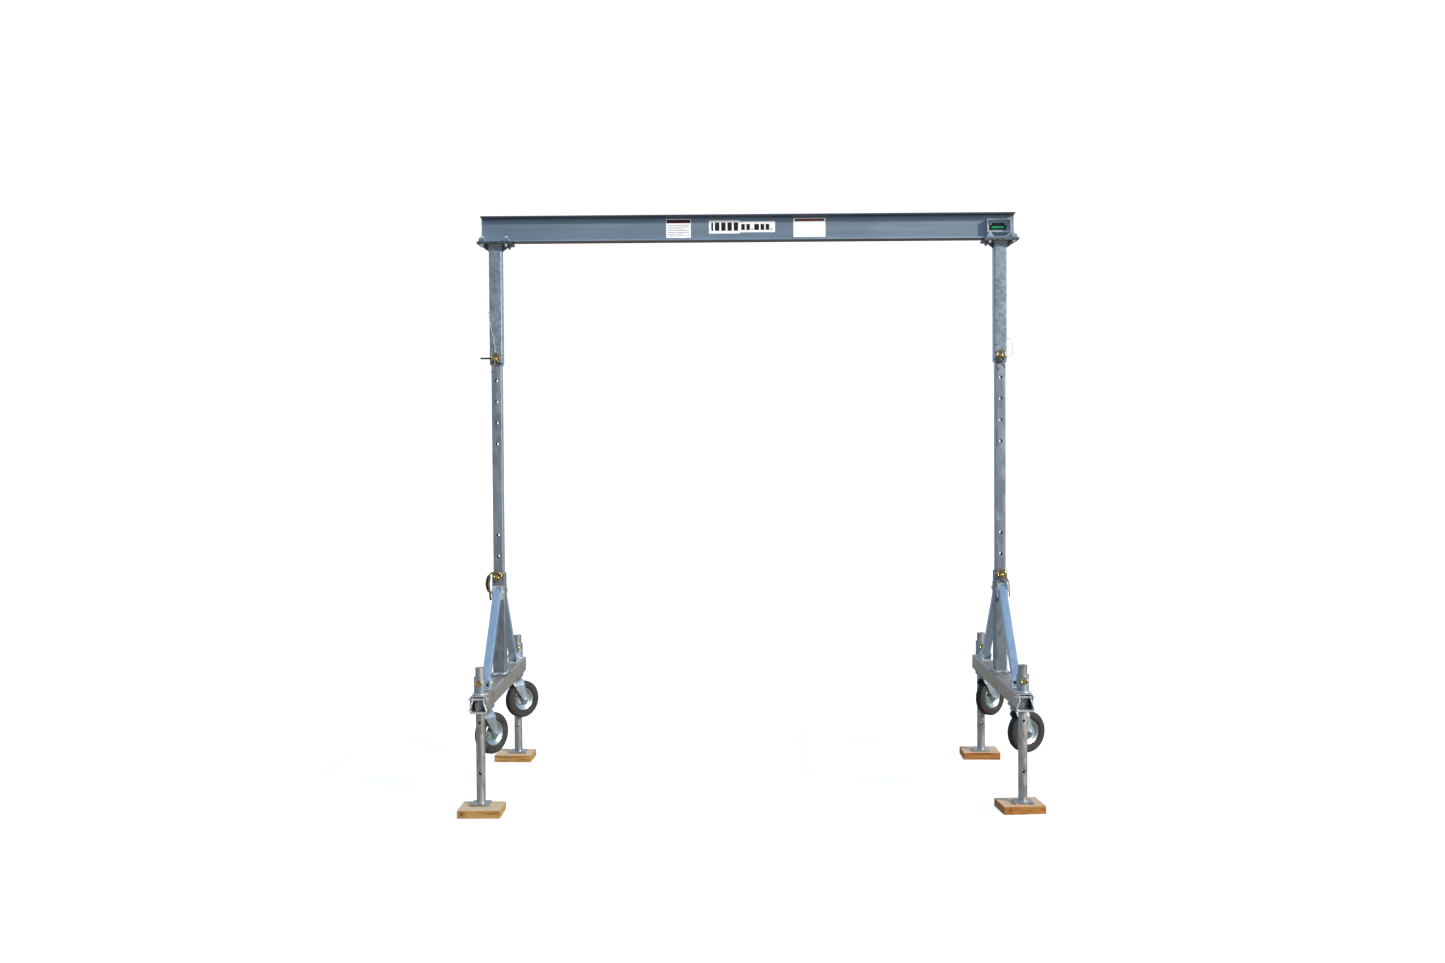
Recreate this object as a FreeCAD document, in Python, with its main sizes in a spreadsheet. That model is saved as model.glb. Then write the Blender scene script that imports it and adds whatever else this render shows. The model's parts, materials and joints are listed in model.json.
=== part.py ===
import FreeCAD
import Part
import Sketcher
import math
import os

# Portable gantry crane. X runs along the beam, Y across it, away from the side with the pins' handles, Z up.
# The origin is on the floor at the middle of the crane.
Vector = FreeCAD.Vector
Rotation = FreeCAD.Rotation
Placement = FreeCAD.Placement

doc = FreeCAD.newDocument("portable_gantry_crane")
sheet = doc.addObject("Spreadsheet::Sheet", "sizes")

SIZES = {
    # where things stand
    "column_spacing": 2500,
    "jack_spacing": 1110,
    "caster_spacing": 898,
    # timber pads and jack legs
    "pad_length": 197,
    "pad_depth": 170,
    "pad_height": 38,
    "foot_width": 84,
    "foot_thick": 10,
    "leg_radius": 21.1,
    "leg_wall": 4,
    "leg_top": 675,
    "leg_low_hole": 187,
    "leg_mid_hole": 421,
    "leg_pin_height": 600,
    "jack_hole_radius": 7,
    "sleeve_radius": 28,
    "sleeve_bore": 23,
    "sleeve_bottom": 462,
    "sleeve_top": 632,
    # base tube and its bail
    "base_length": 1220,
    "base_width": 76,
    "base_wall": 4,
    "base_bottom": 474,
    "base_corner": 7,
    "sleeve_clearance": 0.3,
    "bail_pin_height": 534,
    "bail_pin_inset": 10,
    "bail_pin_radius": 5,
    "bail_pin_overhang": 8,
    "bail_rod_radius": 3.5,
    # stub column, braces and brackets
    "stub_plate_length": 84,
    "stub_plate_depth": 130,
    "stub_plate_thick": 10,
    "stub_top": 1062,
    "stub_bolt_x": 20,
    "stub_bolt_y": 52,
    "stub_bolt_radius": 6,
    "stub_hole_radius": 6.5,
    "outer_width": 63.5,
    "outer_wall": 4,
    "outer_corner": 6,
    "brace_width": 38,
    "brace_wall": 3,
    "brace_corner": 4,
    "brace_top_height": 970,
    "brace_top_reach": 62,
    "brace_foot_height": 579,
    "brace_foot_reach": 405,
    "brace_overrun": 12,
    "brace_bolt_radius": 5,
    "brace_hole_radius": 5.6,
    "brace_head_radius": 9,
    "brace_head_thick": 7,
    "ear_thick": 5,
    "ear_gap": 39,
    "ear_height": 68,
    "ear_drop": 38,
    "ear_reach": 50,
    "foot_ear_depth": 60,
    "foot_ear_height": 46,
    "sole_depth": 78,
    # inner column and the pins
    "inner_width": 50.8,
    "inner_wall": 3.2,
    "inner_corner": 5,
    "inner_bottom": 800,
    "inner_top": 2262,
    "hole_pitch": 105,
    "pin_hole_radius": 8,
    "pin_radius": 7,
    "jack_pin_radius": 6,
    "low_pin_height": 1042,
    "high_pin_height": 2126,
    "pin_collar_step": 6,
    "pin_collar_thick": 4,
    "pin_head_step": 2,
    "pin_head_length": 20,
    "pin_nose": 14,
    "pin_handle_place": 14,
    "column_pin_ring": 13,
    "jack_pin_ring": 7,
    "ring_section_radius": 3.5,
    "cross_bar_radius": 2.5,
    "clip_wire_radius": 2,
    # upper leg, saddle and beam
    "upper_leg_bottom": 2098,
    "saddle_length": 168,
    "saddle_depth": 142,
    "saddle_thick": 12,
    "beam_length": 2640,
    "beam_height": 127,
    "beam_bottom": 2705,
    "flange_width": 88.9,
    "flange_thick": 8,
    "web_thick": 6,
    "clamp_bolt_across": 114,
    "clamp_bolt_along": 118,
    "clamp_bolt_radius": 5,
    "clamp_hole_radius": 5.6,
    "clamp_length": 30,
    "clamp_depth": 33,
    "clamp_thick": 8,
    "clamp_middle": 54,
    "clamp_foot_depth": 25,
    "clamp_foot_middle": 58,
    "gusset_reach": 76,
    "gusset_drop": 34,
    "gusset_thick": 8,
    # labels and name plate, on the beam's web
    "label_thick": 0.8,
    "sheet_low": 2723,
    "sheet_high": 2815,
    "warning_left": -402,
    "warning_right": -280,
    "notice_left": 229,
    "notice_right": 388,
    "figure_left": -190,
    "figure_right": -38,
    "figure_low": 2743,
    "figure_high": 2807,
    "unit_left": -37.5,
    "unit_right": 138,
    "unit_low": 2748,
    "unit_high": 2802,
    "tray_middle": 1241,
    "tray_bottom": 2734,
    "tray_length": 118,
    "tray_height": 66,
    "tray_depth": 32,
    "tray_wall": 4,
    "tray_back": 3,
    "name_plate_length": 84,
    "name_plate_height": 34,
    "name_plate_thick": 2,
    "name_plate_bottom": 2750,
    # casters
    "plate_length": 78,
    "plate_depth": 112,
    "plate_thick": 8,
    "race_radius": 37,
    "race_height": 10,
    "race_bore": 16,
    "plate_head_x": 30,
    "plate_head_y": 46,
    "plate_head_radius": 8,
    "plate_head_thick": 6,
    "wheel_height": 342,
    "wheel_trail": 47,
    "near_left_turn": 57,
    "near_right_turn": 27,
    "far_left_turn": 45,
    "far_right_turn": 40,
    "tyre_ring_radius": 73.5,
    "tyre_section_radius": 24,
    "rim_radius": 54,
    "tyre_seat_half": 40,
    "axle_radius": 6,
    "axle_overhang": 12,
    "axle_nut_radius": 11,
    "axle_nut_thick": 8,
    "hub_radius": 16,
    "hub_half_length": 25,
    "fork_gap": 54,
    "fork_thick": 5,
    "fork_running_gap": 0.5,
    "crown_radius": 39,
    "crown_height": 9,
    "kingpin_radius": 10,
    "bridge_length": 84,
    "bridge_middle": 8,
    "fork_back": -34,
    "fork_front": 47,
    "fork_eye_half": 15,
    "fork_eye_drop": 17,
    # how far the cutters of holes reach to each side
    "cutter_reach": 60,
}

for row, (name, number) in enumerate(SIZES.items(), start=1):
    sheet.set(f"A{row}", name)
    sheet.set(f"B{row}", str(number))
    sheet.setAlias(f"B{row}", name)
scratch = doc.addObject("Spreadsheet::Sheet", "scratch")
doc.recompute()

SIDES = {"left": -1, "right": 1}
ENDS = {"near": -1, "far": 1}
finished = []


def size(name):
    """The number in one cell of the sheet."""
    return float(sheet.get(name))


def formula(text):
    """A formula in which each word that is a size on the sheet is read from the sheet."""
    words = text.replace("(", " ( ").replace(")", " ) ").split()
    return " ".join(f"sizes.{word}" if word in SIZES else word for word in words)


def bind(thing, **formulas):
    """Tie an object's properties to formulas; x, y and z are the place of its own origin."""
    short = {"x": "Placement.Base.x", "y": "Placement.Base.y", "z": "Placement.Base.z"}
    for name, text in formulas.items():
        thing.setExpression(short.get(name, name), formula(str(text)))
    return thing


def add(kind, name):
    return doc.addObject(kind, name)


def block(name, length, width, height, x="0", y="0", z="0"):
    """A block centred on x and y, standing on z."""
    thing = add("Part::Box", name)
    bind(thing, Length=length, Width=width, Height=height)
    return bind(thing, x=f"{x} - ( {length} ) / 2", y=f"{y} - ( {width} ) / 2", z=z)


TURNS = {
    "x": Rotation(Vector(0, 1, 0), 90),
    "y": Rotation(Vector(1, 0, 0), -90),
    "z": Rotation(),
}


def rod(name, radius, length, x="0", y="0", z="0", along="z"):
    """A round bar that starts at x, y, z and runs along one axis."""
    thing = add("Part::Cylinder", name)
    thing.Placement = Placement(Vector(), TURNS[along])
    return bind(thing, Radius=radius, Height=length, x=x, y=y, z=z)


def hexagon(name, radius, length, x="0", y="0", z="0", along="z"):
    """A bolt head or nut that starts at x, y, z and runs along one axis."""
    thing = add("Part::Prism", name)
    thing.Polygon = 6
    thing.Placement = Placement(Vector(), TURNS[along])
    return bind(thing, Circumradius=radius, Height=length, x=x, y=y, z=z)


def fuse(name, pieces):
    thing = add("Part::MultiFuse", name)
    thing.Shapes = pieces
    return thing


def cut(name, body, tools):
    """A body with one or more tools taken out of it."""
    thing = add("Part::Cut", name)
    thing.Base = body
    thing.Tool = tools[0] if len(tools) == 1 else fuse(f"{name}_tools", tools)
    return thing


def group(name, pieces):
    """Separate solids that share one sub-part."""
    thing = add("Part::Compound", name)
    thing.Links = pieces
    return thing


def finish(label, thing, x="0", y="0", z="0", turn=None):
    """Give a sub-part its label and put it in its place in the crane."""
    thing.Label = label
    if turn is not None:
        thing.Placement = Placement(Vector(), turn)
    bind(thing, x=x, y=y, z=z)
    finished.append(thing)
    return thing


def outline(body, plane, loops, circles=()):
    """A sketch on one of the body's own origin planes; each corner is held by two formulas."""
    sketch = body.newObject("Sketcher::SketchObject", f"{body.Name}_sketch")
    support = next(item for item in body.Origin.OriginFeatures if item.Role == plane)
    sketch.AttachmentSupport = [(support, "")]
    sketch.MapMode = "FlatFace"
    for corners in loops:
        first = sketch.GeometryCount
        spots = [Vector(*[worth(text) for text in corner], 0) for corner in corners]
        for here, there in zip(spots, spots[1:] + spots[:1]):
            sketch.addGeometry(Part.LineSegment(here, there), False)
        for number, corner in enumerate(corners):
            this = first + number
            following = first + (number + 1) % len(corners)
            sketch.addConstraint(Sketcher.Constraint("Coincident", this, 2, following, 1))
            for kind, text in zip(("DistanceX", "DistanceY"), corner):
                held = Sketcher.Constraint(kind, -1, 1, this, 1, worth(text))
                sketch.setExpression(f"Constraints[{sketch.addConstraint(held)}]", formula(text))
    for x, y, radius in circles:
        centre = Vector(worth(x), worth(y), 0)
        this = sketch.addGeometry(Part.Circle(centre, Vector(0, 0, 1), worth(radius)), False)
        for kind, text in (("DistanceX", x), ("DistanceY", y)):
            held = Sketcher.Constraint(kind, -1, 1, this, 3, worth(text))
            sketch.setExpression(f"Constraints[{sketch.addConstraint(held)}]", formula(text))
        held = Sketcher.Constraint("Radius", this, worth(radius))
        sketch.setExpression(f"Constraints[{sketch.addConstraint(held)}]", formula(radius))
    doc.recompute()
    return sketch


def worth(text):
    """The number that a formula gives now, worked out in a cell of its own."""
    scratch.set("A1", f"={formula(str(text))}")
    scratch.recompute()
    return float(scratch.get("A1"))


def pad(name, plane, loops, length, circles=()):
    """A PartDesign body: one sketch, pushed out along its plane's normal."""
    body = add("PartDesign::Body", name)
    sketch = outline(body, plane, loops, circles)
    feature = body.newObject("PartDesign::Pad", f"{name}_pad")
    feature.Profile = sketch
    bind(feature, Length=length)
    doc.recompute()
    return body


def round_edges(body, chosen, radius):
    """Round those edges of a body's last feature for which chosen(edge) is true."""
    last = body.Tip
    names = [f"Edge{n}" for n, edge in enumerate(last.Shape.Edges, start=1) if chosen(edge)]
    feature = body.newObject("PartDesign::Fillet", f"{last.Name}_round")
    feature.Base = (last, names)
    bind(feature, Radius=radius)
    doc.recompute()
    return body


def square(width):
    """The four corners of a square centred on the sketch's origin."""
    half = f"( {width} ) / 2"
    return [(f"- {half}", f"- {half}"), (half, f"- {half}"), (half, half), (f"- {half}", half)]


def square_tube(name, width, wall, corner, length):
    """Drawn square tube along +Z with round corners inside and out."""
    inside = f"( {width} - 2 * {wall} )"
    body = pad(name, "XY_Plane", [square(width), square(inside)], length)
    reach = worth(width) / 2

    def long_edge_at(distance):
        def chosen(edge):
            spot = edge.CenterOfMass
            upright = abs(edge.tangentAt(edge.FirstParameter).z) > 0.99
            return upright and abs(abs(spot.x) - distance) < 0.01
        return chosen

    round_edges(body, long_edge_at(reach), corner)
    round_edges(body, long_edge_at(reach - worth(wall)), f"{corner} - {wall}")
    return body


def cross_holes(name, radius, reach, heights):
    """Cutters for holes that go through a post from front to back."""
    return [
        rod(f"{name}_hole_{n}", radius, f"2 * {reach}", y=f"- {reach}", z=height, along="y")
        for n, height in enumerate(heights)
    ]


def swept_rod(name, corners, radius, bend):
    """A round rod bent to straight runs joined by tangent arcs, all of them bent as wide as they can be."""
    spots = [Vector(*corner) for corner in corners]
    edges = []
    radii = []
    start = spots[0]
    for before, here, after in zip(spots, spots[1:], spots[2:]):
        back = before - here
        on = after - here
        shorter = min(back.Length, on.Length)
        back.normalize()
        on.normalize()
        turn = math.pi - back.getAngle(on)
        most = 0.45 * shorter / math.tan(turn / 2)
        arc_radius = most if bend is None else min(bend, most)
        cutback = arc_radius * math.tan(turn / 2)
        middle = back + on
        middle.normalize()
        centre = here + middle * (arc_radius / math.cos(turn / 2))
        arc_start = here + back * cutback
        arc_end = here + on * cutback
        edges.append(Part.LineSegment(start, arc_start).toShape())
        edges.append(Part.Arc(arc_start, centre - middle * arc_radius, arc_end).toShape())
        radii.append(arc_radius)
        start = arc_end
    edges.append(Part.LineSegment(start, spots[-1]).toShape())
    path = Part.Wire(edges)
    direction = spots[1] - spots[0]
    profile = Part.Wire(Part.Circle(spots[0], direction, radius).toShape())
    tube = path.makePipeShell([profile], True, False)
    print(name, "length", round(path.Length, 1), "radii", [round(value, 1) for value in radii],
          "volume ratio", round(tube.Volume / (math.pi * radius ** 2 * path.Length), 4))
    return tube


def bolt(name, x, y, z, length, radius, head_thick):
    """An upright hexagon bolt with its nut: z is where the shank starts, and the head is at its top."""
    across = f"{radius} * 1.9"
    pieces = [
        rod(f"{name}_shank", radius, length, x, y, z),
        hexagon(f"{name}_head", across, head_thick, x, y, f"{z} + {length}"),
        hexagon(f"{name}_nut", across, head_thick, x, y, f"{z} + 6"),
    ]
    return fuse(name, pieces)


FOUR_CORNERS = ((-1, -1), (-1, 1), (1, -1), (1, 1))


# The I-beam: flanges above and below a web, rounded where they meet.
def make_i_beam():
    edge = "flange_width / 2"
    web = "web_thick / 2"
    top = "beam_height"
    under = "( beam_height - flange_thick )"
    corners = [
        (f"- {edge}", "0"), (edge, "0"), (edge, "flange_thick"), (web, "flange_thick"),
        (web, under), (edge, under), (edge, top), (f"- {edge}", top), (f"- {edge}", under),
        (f"- {web}", under), (f"- {web}", "flange_thick"), (f"- {edge}", "flange_thick"),
    ]
    beam = pad("beam", "YZ_Plane", [corners], "beam_length")
    half_web = size("web_thick") / 2

    def at_the_web(edge):
        spot = edge.CenterOfMass
        return edge.Length > 1000 and abs(abs(spot.y) - half_web) < 0.01

    round_edges(beam, at_the_web, "7")
    finish("i_beam", beam, x="- beam_length / 2", z="beam_bottom")


def sticker(name, low_x, high_x, low_z, high_z):
    """A thin plate on the front of the beam's web."""
    return block(name, f"{high_x} - {low_x}", "label_thick", f"{high_z} - {low_z}",
                 x=f"( {high_x} + {low_x} ) / 2", y="- ( web_thick + label_thick ) / 2", z=low_z)


def make_labels():
    warning = sticker("warning_sheet", "warning_left", "warning_right", "sheet_low", "sheet_high")
    finish("warning_label", group("warning", [warning]))
    capacity = [
        sticker("capacity_figure", "figure_left", "figure_right", "figure_low", "figure_high"),
        sticker("capacity_unit", "unit_left", "unit_right", "unit_low", "unit_high"),
    ]
    finish("capacity_label", group("capacity", capacity))
    notice = sticker("notice_sheet", "notice_left", "notice_right", "sheet_low", "sheet_high")
    finish("notice_label", group("notice", [notice]))


# A shallow tray on the web's front above the right column, with the maker's plate inside.
def make_name_plate():
    outside = block("tray_outside", "tray_length", "tray_depth", "tray_height", y="- tray_depth / 2")
    inside = block("tray_inside", "tray_length - 2 * tray_wall", "tray_depth", "tray_height - 2 * tray_wall",
                   y="- tray_depth / 2 - tray_back", z="tray_wall")
    finish("name_plate_frame", cut("tray", outside, [inside]), x="tray_middle", y="- web_thick / 2",
           z="tray_bottom")
    plate = block("plate_sheet", "name_plate_length", "name_plate_thick", "name_plate_height",
                  y="- 2 * name_plate_thick")
    finish("name_plate", plate, x="tray_middle - name_plate_length / 2",
           y="- web_thick / 2 - tray_back - name_plate_thick", z="name_plate_bottom")


# Each saddle: a plate under the beam with four bolt holes and a gusset on each side of the leg.
def make_saddle(side_name, side):
    name = f"{side_name}_saddle"
    plate = block(f"{name}_plate", "saddle_length", "saddle_depth", "saddle_thick")
    pieces = [plate]
    for label, way in (("inner", -1), ("outer", 1)):
        corners = [
            (f"{way} * outer_width / 2", "0"),
            (f"{way} * gusset_reach", "0"),
            (f"{way} * outer_width / 2", "- gusset_drop"),
        ]
        gusset = pad(f"{name}_{label}_gusset", "XZ_Plane", [corners], "gusset_thick")
        bind(gusset, y="gusset_thick / 2")
        pieces.append(gusset)
    tools = [
        rod(f"{name}_hole_{n}", "clamp_hole_radius", "saddle_thick + 2", x=f"{sx} * clamp_bolt_along / 2",
            y=f"{sy} * clamp_bolt_across / 2", z="-1")
        for n, (sx, sy) in enumerate(FOUR_CORNERS)
    ]
    saddle = cut(name, fuse(f"{name}_welded", pieces), tools)
    finish(name, saddle, x=f"{side} * column_spacing / 2", z="beam_bottom - saddle_thick")


def make_upper_leg(side_name, side):
    name = f"{side_name}_upper_leg"
    length = "beam_bottom - saddle_thick - upper_leg_bottom"
    tube = square_tube(f"{name}_tube", "outer_width", "outer_wall", "outer_corner", length)
    holes = cross_holes(name, "pin_hole_radius", "cutter_reach", ["high_pin_height - upper_leg_bottom"])
    finish(name, cut(name, tube, holes), x=f"{side} * column_spacing / 2", z="upper_leg_bottom")


# Eight clamps hold the beam's bottom flange to the saddles; a bolt goes down through each.
def make_clamps():
    clamps = []
    bolts = []
    for side_name, side in SIDES.items():
        for sx in (-1, 1):
            for sy in (-1, 1):
                name = f"clamp_{side_name}_{'a' if sx < 0 else 'b'}{'c' if sy < 0 else 'd'}"
                x = f"{side} * column_spacing / 2 + {sx} * clamp_bolt_along / 2"
                y = f"{sy} * clamp_bolt_across / 2"
                bar = block(f"{name}_bar", "clamp_length", "clamp_depth", "clamp_thick", x=x,
                            y=f"{sy} * clamp_middle", z="beam_bottom + flange_thick")
                foot = block(f"{name}_foot", "clamp_length", "clamp_foot_depth", "flange_thick", x=x,
                             y=f"{sy} * clamp_foot_middle", z="beam_bottom")
                hole = rod(f"{name}_hole", "clamp_hole_radius", "cutter_reach", x=x, y=y, z="beam_bottom - 2")
                clamps.append(cut(name, fuse(f"{name}_body", [bar, foot]), [hole]))
                bolts.append(bolt(f"{name}_bolt", x, y, "beam_bottom - saddle_thick - 14",
                                  "saddle_thick + flange_thick + clamp_thick + 14", "clamp_bolt_radius",
                                  "clamp_thick"))
    finish("saddle_clamps", group("clamps", clamps))
    finish("saddle_bolts", group("clamp_bolts", bolts))


def make_inner_column(side_name, side):
    name = f"{side_name}_column"
    length = "inner_top - inner_bottom"
    tube = square_tube(f"{name}_tube", "inner_width", "inner_wall", "inner_corner", length)
    heights = [f"low_pin_height - inner_bottom + {n} * hole_pitch" for n in (-2, -1, 0, 1, 2)]
    heights += [f"high_pin_height - inner_bottom + {n} * hole_pitch" for n in (-4, -3, -2, -1, 0, 1)]
    holes = cross_holes(name, "pin_hole_radius", "cutter_reach", heights)
    finish(name, cut(name, tube, holes), x=f"{side} * column_spacing / 2", z="inner_bottom")


BASE_TOP = "( base_bottom + base_width )"


# The base tube lies along Y; a jack sleeve goes down through it near each end.
def make_base_tube(side_name, side):
    name = f"{side_name}_base_tube"
    tube = square_tube(f"{name}_tube", "base_width", "base_wall", "base_corner", "base_length")
    sleeve_holes = [
        rod(f"{name}_{end_name}_sleeve_hole", "sleeve_radius + sleeve_clearance", "2 * cutter_reach",
            y="- cutter_reach", z=f"base_length / 2 + {end} * jack_spacing / 2", along="y")
        for end_name, end in ENDS.items()
    ]
    drop = "base_bottom + base_width / 2 - bail_pin_height"
    pin_hole = rod(f"{name}_pin_hole", "bail_pin_radius + sleeve_clearance", "2 * cutter_reach",
                   x="- cutter_reach", y=drop, z="bail_pin_inset", along="x")
    stub_holes = [
        rod(f"{name}_stub_hole_{n}", "stub_hole_radius", "cutter_reach", x=f"{sx} * stub_bolt_x",
            y="- cutter_reach", z=f"base_length / 2 + {sy} * stub_bolt_y", along="y")
        for n, (sx, sy) in enumerate(FOUR_CORNERS)
    ]
    body = cut(name, tube, sleeve_holes + [pin_hole] + stub_holes)
    finish(name, body, x=f"{side} * column_spacing / 2", y="- base_length / 2",
           z="base_bottom + base_width / 2", turn=TURNS["y"])


# The stub column is an outer tube welded to a plate, which is bolted on the base tube.
def make_stub_column(side_name, side):
    name = f"{side_name}_stub_column"
    length = f"stub_top - {BASE_TOP} - stub_plate_thick"
    tube = square_tube(f"{name}_tube", "outer_width", "outer_wall", "outer_corner", length)
    bind(tube, z="stub_plate_thick")
    plate = block(f"{name}_plate", "stub_plate_length", "stub_plate_depth", "stub_plate_thick")
    tools = cross_holes(name, "pin_hole_radius", "cutter_reach", [f"low_pin_height - {BASE_TOP}"])
    tools += [
        rod(f"{name}_bolt_hole_{n}", "stub_hole_radius", "stub_plate_thick + 2", x=f"{sx} * stub_bolt_x",
            y=f"{sy} * stub_bolt_y", z="-1")
        for n, (sx, sy) in enumerate(FOUR_CORNERS)
    ]
    column = cut(name, fuse(f"{name}_welded", [tube, plate]), tools)
    finish(name, column, x=f"{side} * column_spacing / 2", z=BASE_TOP)


def brace_slope():
    """The brace's lean from upright, in degrees, and the length between its two bolts."""
    reach = size("brace_foot_reach") - size("brace_top_reach")
    rise = size("brace_top_height") - size("brace_foot_height")
    return math.degrees(math.atan2(reach, rise)), math.hypot(reach, rise)


# Two square braces lean from the stub column's head to the base tube, one to each end.
def make_brace(side_name, side, end_name, end):
    name = f"{side_name}_{end_name}_brace"
    lean, between = brace_slope()
    tube = square_tube(f"{name}_tube", "brace_width", "brace_wall", "brace_corner",
                       f"{between} + 2 * brace_overrun")
    bolts = [
        rod(f"{name}_hole_{n}", "brace_hole_radius", "cutter_reach", x="- cutter_reach / 2", z=height,
            along="x")
        for n, height in enumerate(("brace_overrun", f"{between} + brace_overrun"))
    ]
    brace = cut(name, tube, bolts)
    turn = Rotation(Vector(1, 0, 0), end * lean)
    slide_y = math.sin(math.radians(lean))
    slide_z = math.cos(math.radians(lean))
    finish(name, brace, x=f"{side} * column_spacing / 2",
           y=f"{end} * ( brace_foot_reach + {slide_y} * brace_overrun )",
           z=f"brace_foot_height - {slide_z} * brace_overrun", turn=turn)


# Pressed clevises hold the braces: two ears from a back plate on the column, two from a sole on the base.
def make_brace_brackets(side_name, side):
    pieces = []
    x = f"{side} * column_spacing / 2"
    wide = "ear_gap + 2 * ear_thick"
    for end_name, end in ENDS.items():
        name = f"{side_name}_{end_name}_bracket"
        back = block(f"{name}_back", wide, "ear_thick", "ear_height", x=x,
                     y=f"{end} * ( outer_width + ear_thick ) / 2", z="brace_top_height - ear_drop")
        head = [back]
        foot = [block(f"{name}_sole", wide, "sole_depth", "ear_thick", x=x, y=f"{end} * brace_foot_reach",
                      z=BASE_TOP)]
        for ear_name, way in (("left", -1), ("right", 1)):
            ear_x = f"{x} + {way} * ( ear_gap + ear_thick ) / 2"
            head.append(block(f"{name}_top_{ear_name}_ear", "ear_thick", "ear_reach", "ear_height", x=ear_x,
                              y=f"{end} * ( outer_width + ear_reach ) / 2", z="brace_top_height - ear_drop"))
            foot.append(block(f"{name}_foot_{ear_name}_ear", "ear_thick", "foot_ear_depth", "foot_ear_height",
                              x=ear_x, y=f"{end} * brace_foot_reach", z=BASE_TOP))
        for label, made, y, height in (
            ("top", head, "brace_top_reach", "brace_top_height"),
            ("foot", foot, "brace_foot_reach", "brace_foot_height"),
        ):
            hole = rod(f"{name}_{label}_hole", "brace_hole_radius", "2 * cutter_reach",
                       x=f"{x} - cutter_reach", y=f"{end} * {y}", z=height, along="x")
            pieces.append(cut(f"{name}_{label}", fuse(f"{name}_{label}_bent", made), [hole]))
    finish(f"{side_name}_brace_brackets", group(f"{side_name}_brackets", pieces))


# Bolts of one base: four under the stub column, four through the braces, and the bail's cross pin.
def make_base_bolts(side_name, side):
    pieces = []
    x = f"{side} * column_spacing / 2"
    for n, (sx, sy) in enumerate(FOUR_CORNERS):
        pieces.append(bolt(f"{side_name}_stub_bolt_{n}", f"{x} + {sx} * stub_bolt_x", f"{sy} * stub_bolt_y",
                           f"{BASE_TOP} - base_wall - 14", "stub_plate_thick + base_wall + 14",
                           "stub_bolt_radius", "brace_head_thick"))
    for end_name, end in ENDS.items():
        for label, y, height in (
            ("top", "brace_top_reach", "brace_top_height"),
            ("foot", "brace_foot_reach", "brace_foot_height"),
        ):
            name = f"{side_name}_{end_name}_{label}_bolt"
            shank = rod(f"{name}_shank", "brace_bolt_radius", "ear_gap + 2 * ear_thick + 16",
                        x=f"{x} - ear_gap / 2 - ear_thick - 8", y=f"{end} * {y}", z=height, along="x")
            heads = [
                hexagon(f"{name}_{head_name}", "brace_head_radius", "brace_head_thick", x=f"{x} + {place}",
                        y=f"{end} * {y}", z=height, along="x")
                for head_name, place in (
                    ("head", "ear_gap / 2 + ear_thick"),
                    ("nut", "( - ear_gap / 2 - ear_thick - brace_head_thick )"),
                )
            ]
            pieces.append(fuse(name, [shank] + heads))
    pin = rod(f"{side_name}_bail_pin", "bail_pin_radius", "base_width + 2 * bail_pin_overhang",
              x=f"{x} - base_width / 2 - bail_pin_overhang",
              y="- base_length / 2 + bail_pin_inset", z="bail_pin_height", along="x")
    pieces.append(pin)
    finish(f"{side_name}_base_bolts", group(f"{side_name}_fixings", pieces))


def make_jack_sleeves(side_name, side):
    sleeves = []
    for end_name, end in ENDS.items():
        name = f"{side_name}_{end_name}_sleeve"
        circles = [("0", "0", "sleeve_radius"), ("0", "0", "sleeve_bore")]
        tube = pad(f"{name}_tube", "XY_Plane", [], "sleeve_top - sleeve_bottom", circles)
        holes = cross_holes(name, "jack_hole_radius", "cutter_reach", ["leg_pin_height - sleeve_bottom"])
        sleeve = cut(name, tube, holes)
        bind(sleeve, x=f"{side} * column_spacing / 2", y=f"{end} * jack_spacing / 2", z="sleeve_bottom")
        sleeves.append(sleeve)
    finish(f"{side_name}_jack_sleeves", group(f"{side_name}_sleeves", sleeves))


def make_caster_plates(side_name, side):
    pieces = []
    x = f"{side} * column_spacing / 2"
    for end_name, end in ENDS.items():
        name = f"{side_name}_{end_name}_caster_plate"
        y = f"{end} * caster_spacing / 2"
        plate = block(f"{name}_sheet", "plate_length", "plate_depth", "plate_thick", x=x, y=y,
                      z="base_bottom - plate_thick")
        race = rod(f"{name}_race", "race_radius", "race_height", x=x, y=y,
                   z="base_bottom - plate_thick - race_height")
        heads = [
            hexagon(f"{name}_head_{n}", "plate_head_radius", "plate_head_thick",
                    x=f"{x} + {sx} * plate_head_x", y=f"{y} + {sy} * plate_head_y",
                    z="base_bottom - plate_thick - plate_head_thick")
            for n, (sx, sy) in enumerate(FOUR_CORNERS)
        ]
        bore = rod(f"{name}_bore", "race_bore", "race_height + 1", x=x, y=y,
                   z="base_bottom - plate_thick - race_height - 1")
        pieces.append(cut(name, fuse(f"{name}_built", [plate, race] + heads), [bore]))
    finish(f"{side_name}_caster_plates", group(f"{side_name}_plates", pieces))


# Loose blocks of softwood under the jacks, each laid down by hand a little differently.
PAD_PLACES = {
    "left": {"near": (6, -23, 0), "far": (-17, 5, -2)},
    "right": {"near": (-10, 15, 5.5), "far": (-3, 23, -1.5)},
}


def make_timber_pads(side_name, side):
    blocks = []
    for end_name, end in ENDS.items():
        along, across, turn = PAD_PLACES[side_name][end_name]
        timber = block(f"{side_name}_{end_name}_timber", "pad_length", "pad_depth", "pad_height")
        held = group(f"{side_name}_{end_name}_pad", [timber])
        held.Placement = Placement(Vector(), Rotation(Vector(0, 0, 1), turn))
        bind(held, x=f"{side} * column_spacing / 2 + {along}", y=f"{end} * jack_spacing / 2 + {across}")
        blocks.append(held)
    finish(f"{side_name}_timber_pads", group(f"{side_name}_pads", blocks))


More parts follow.
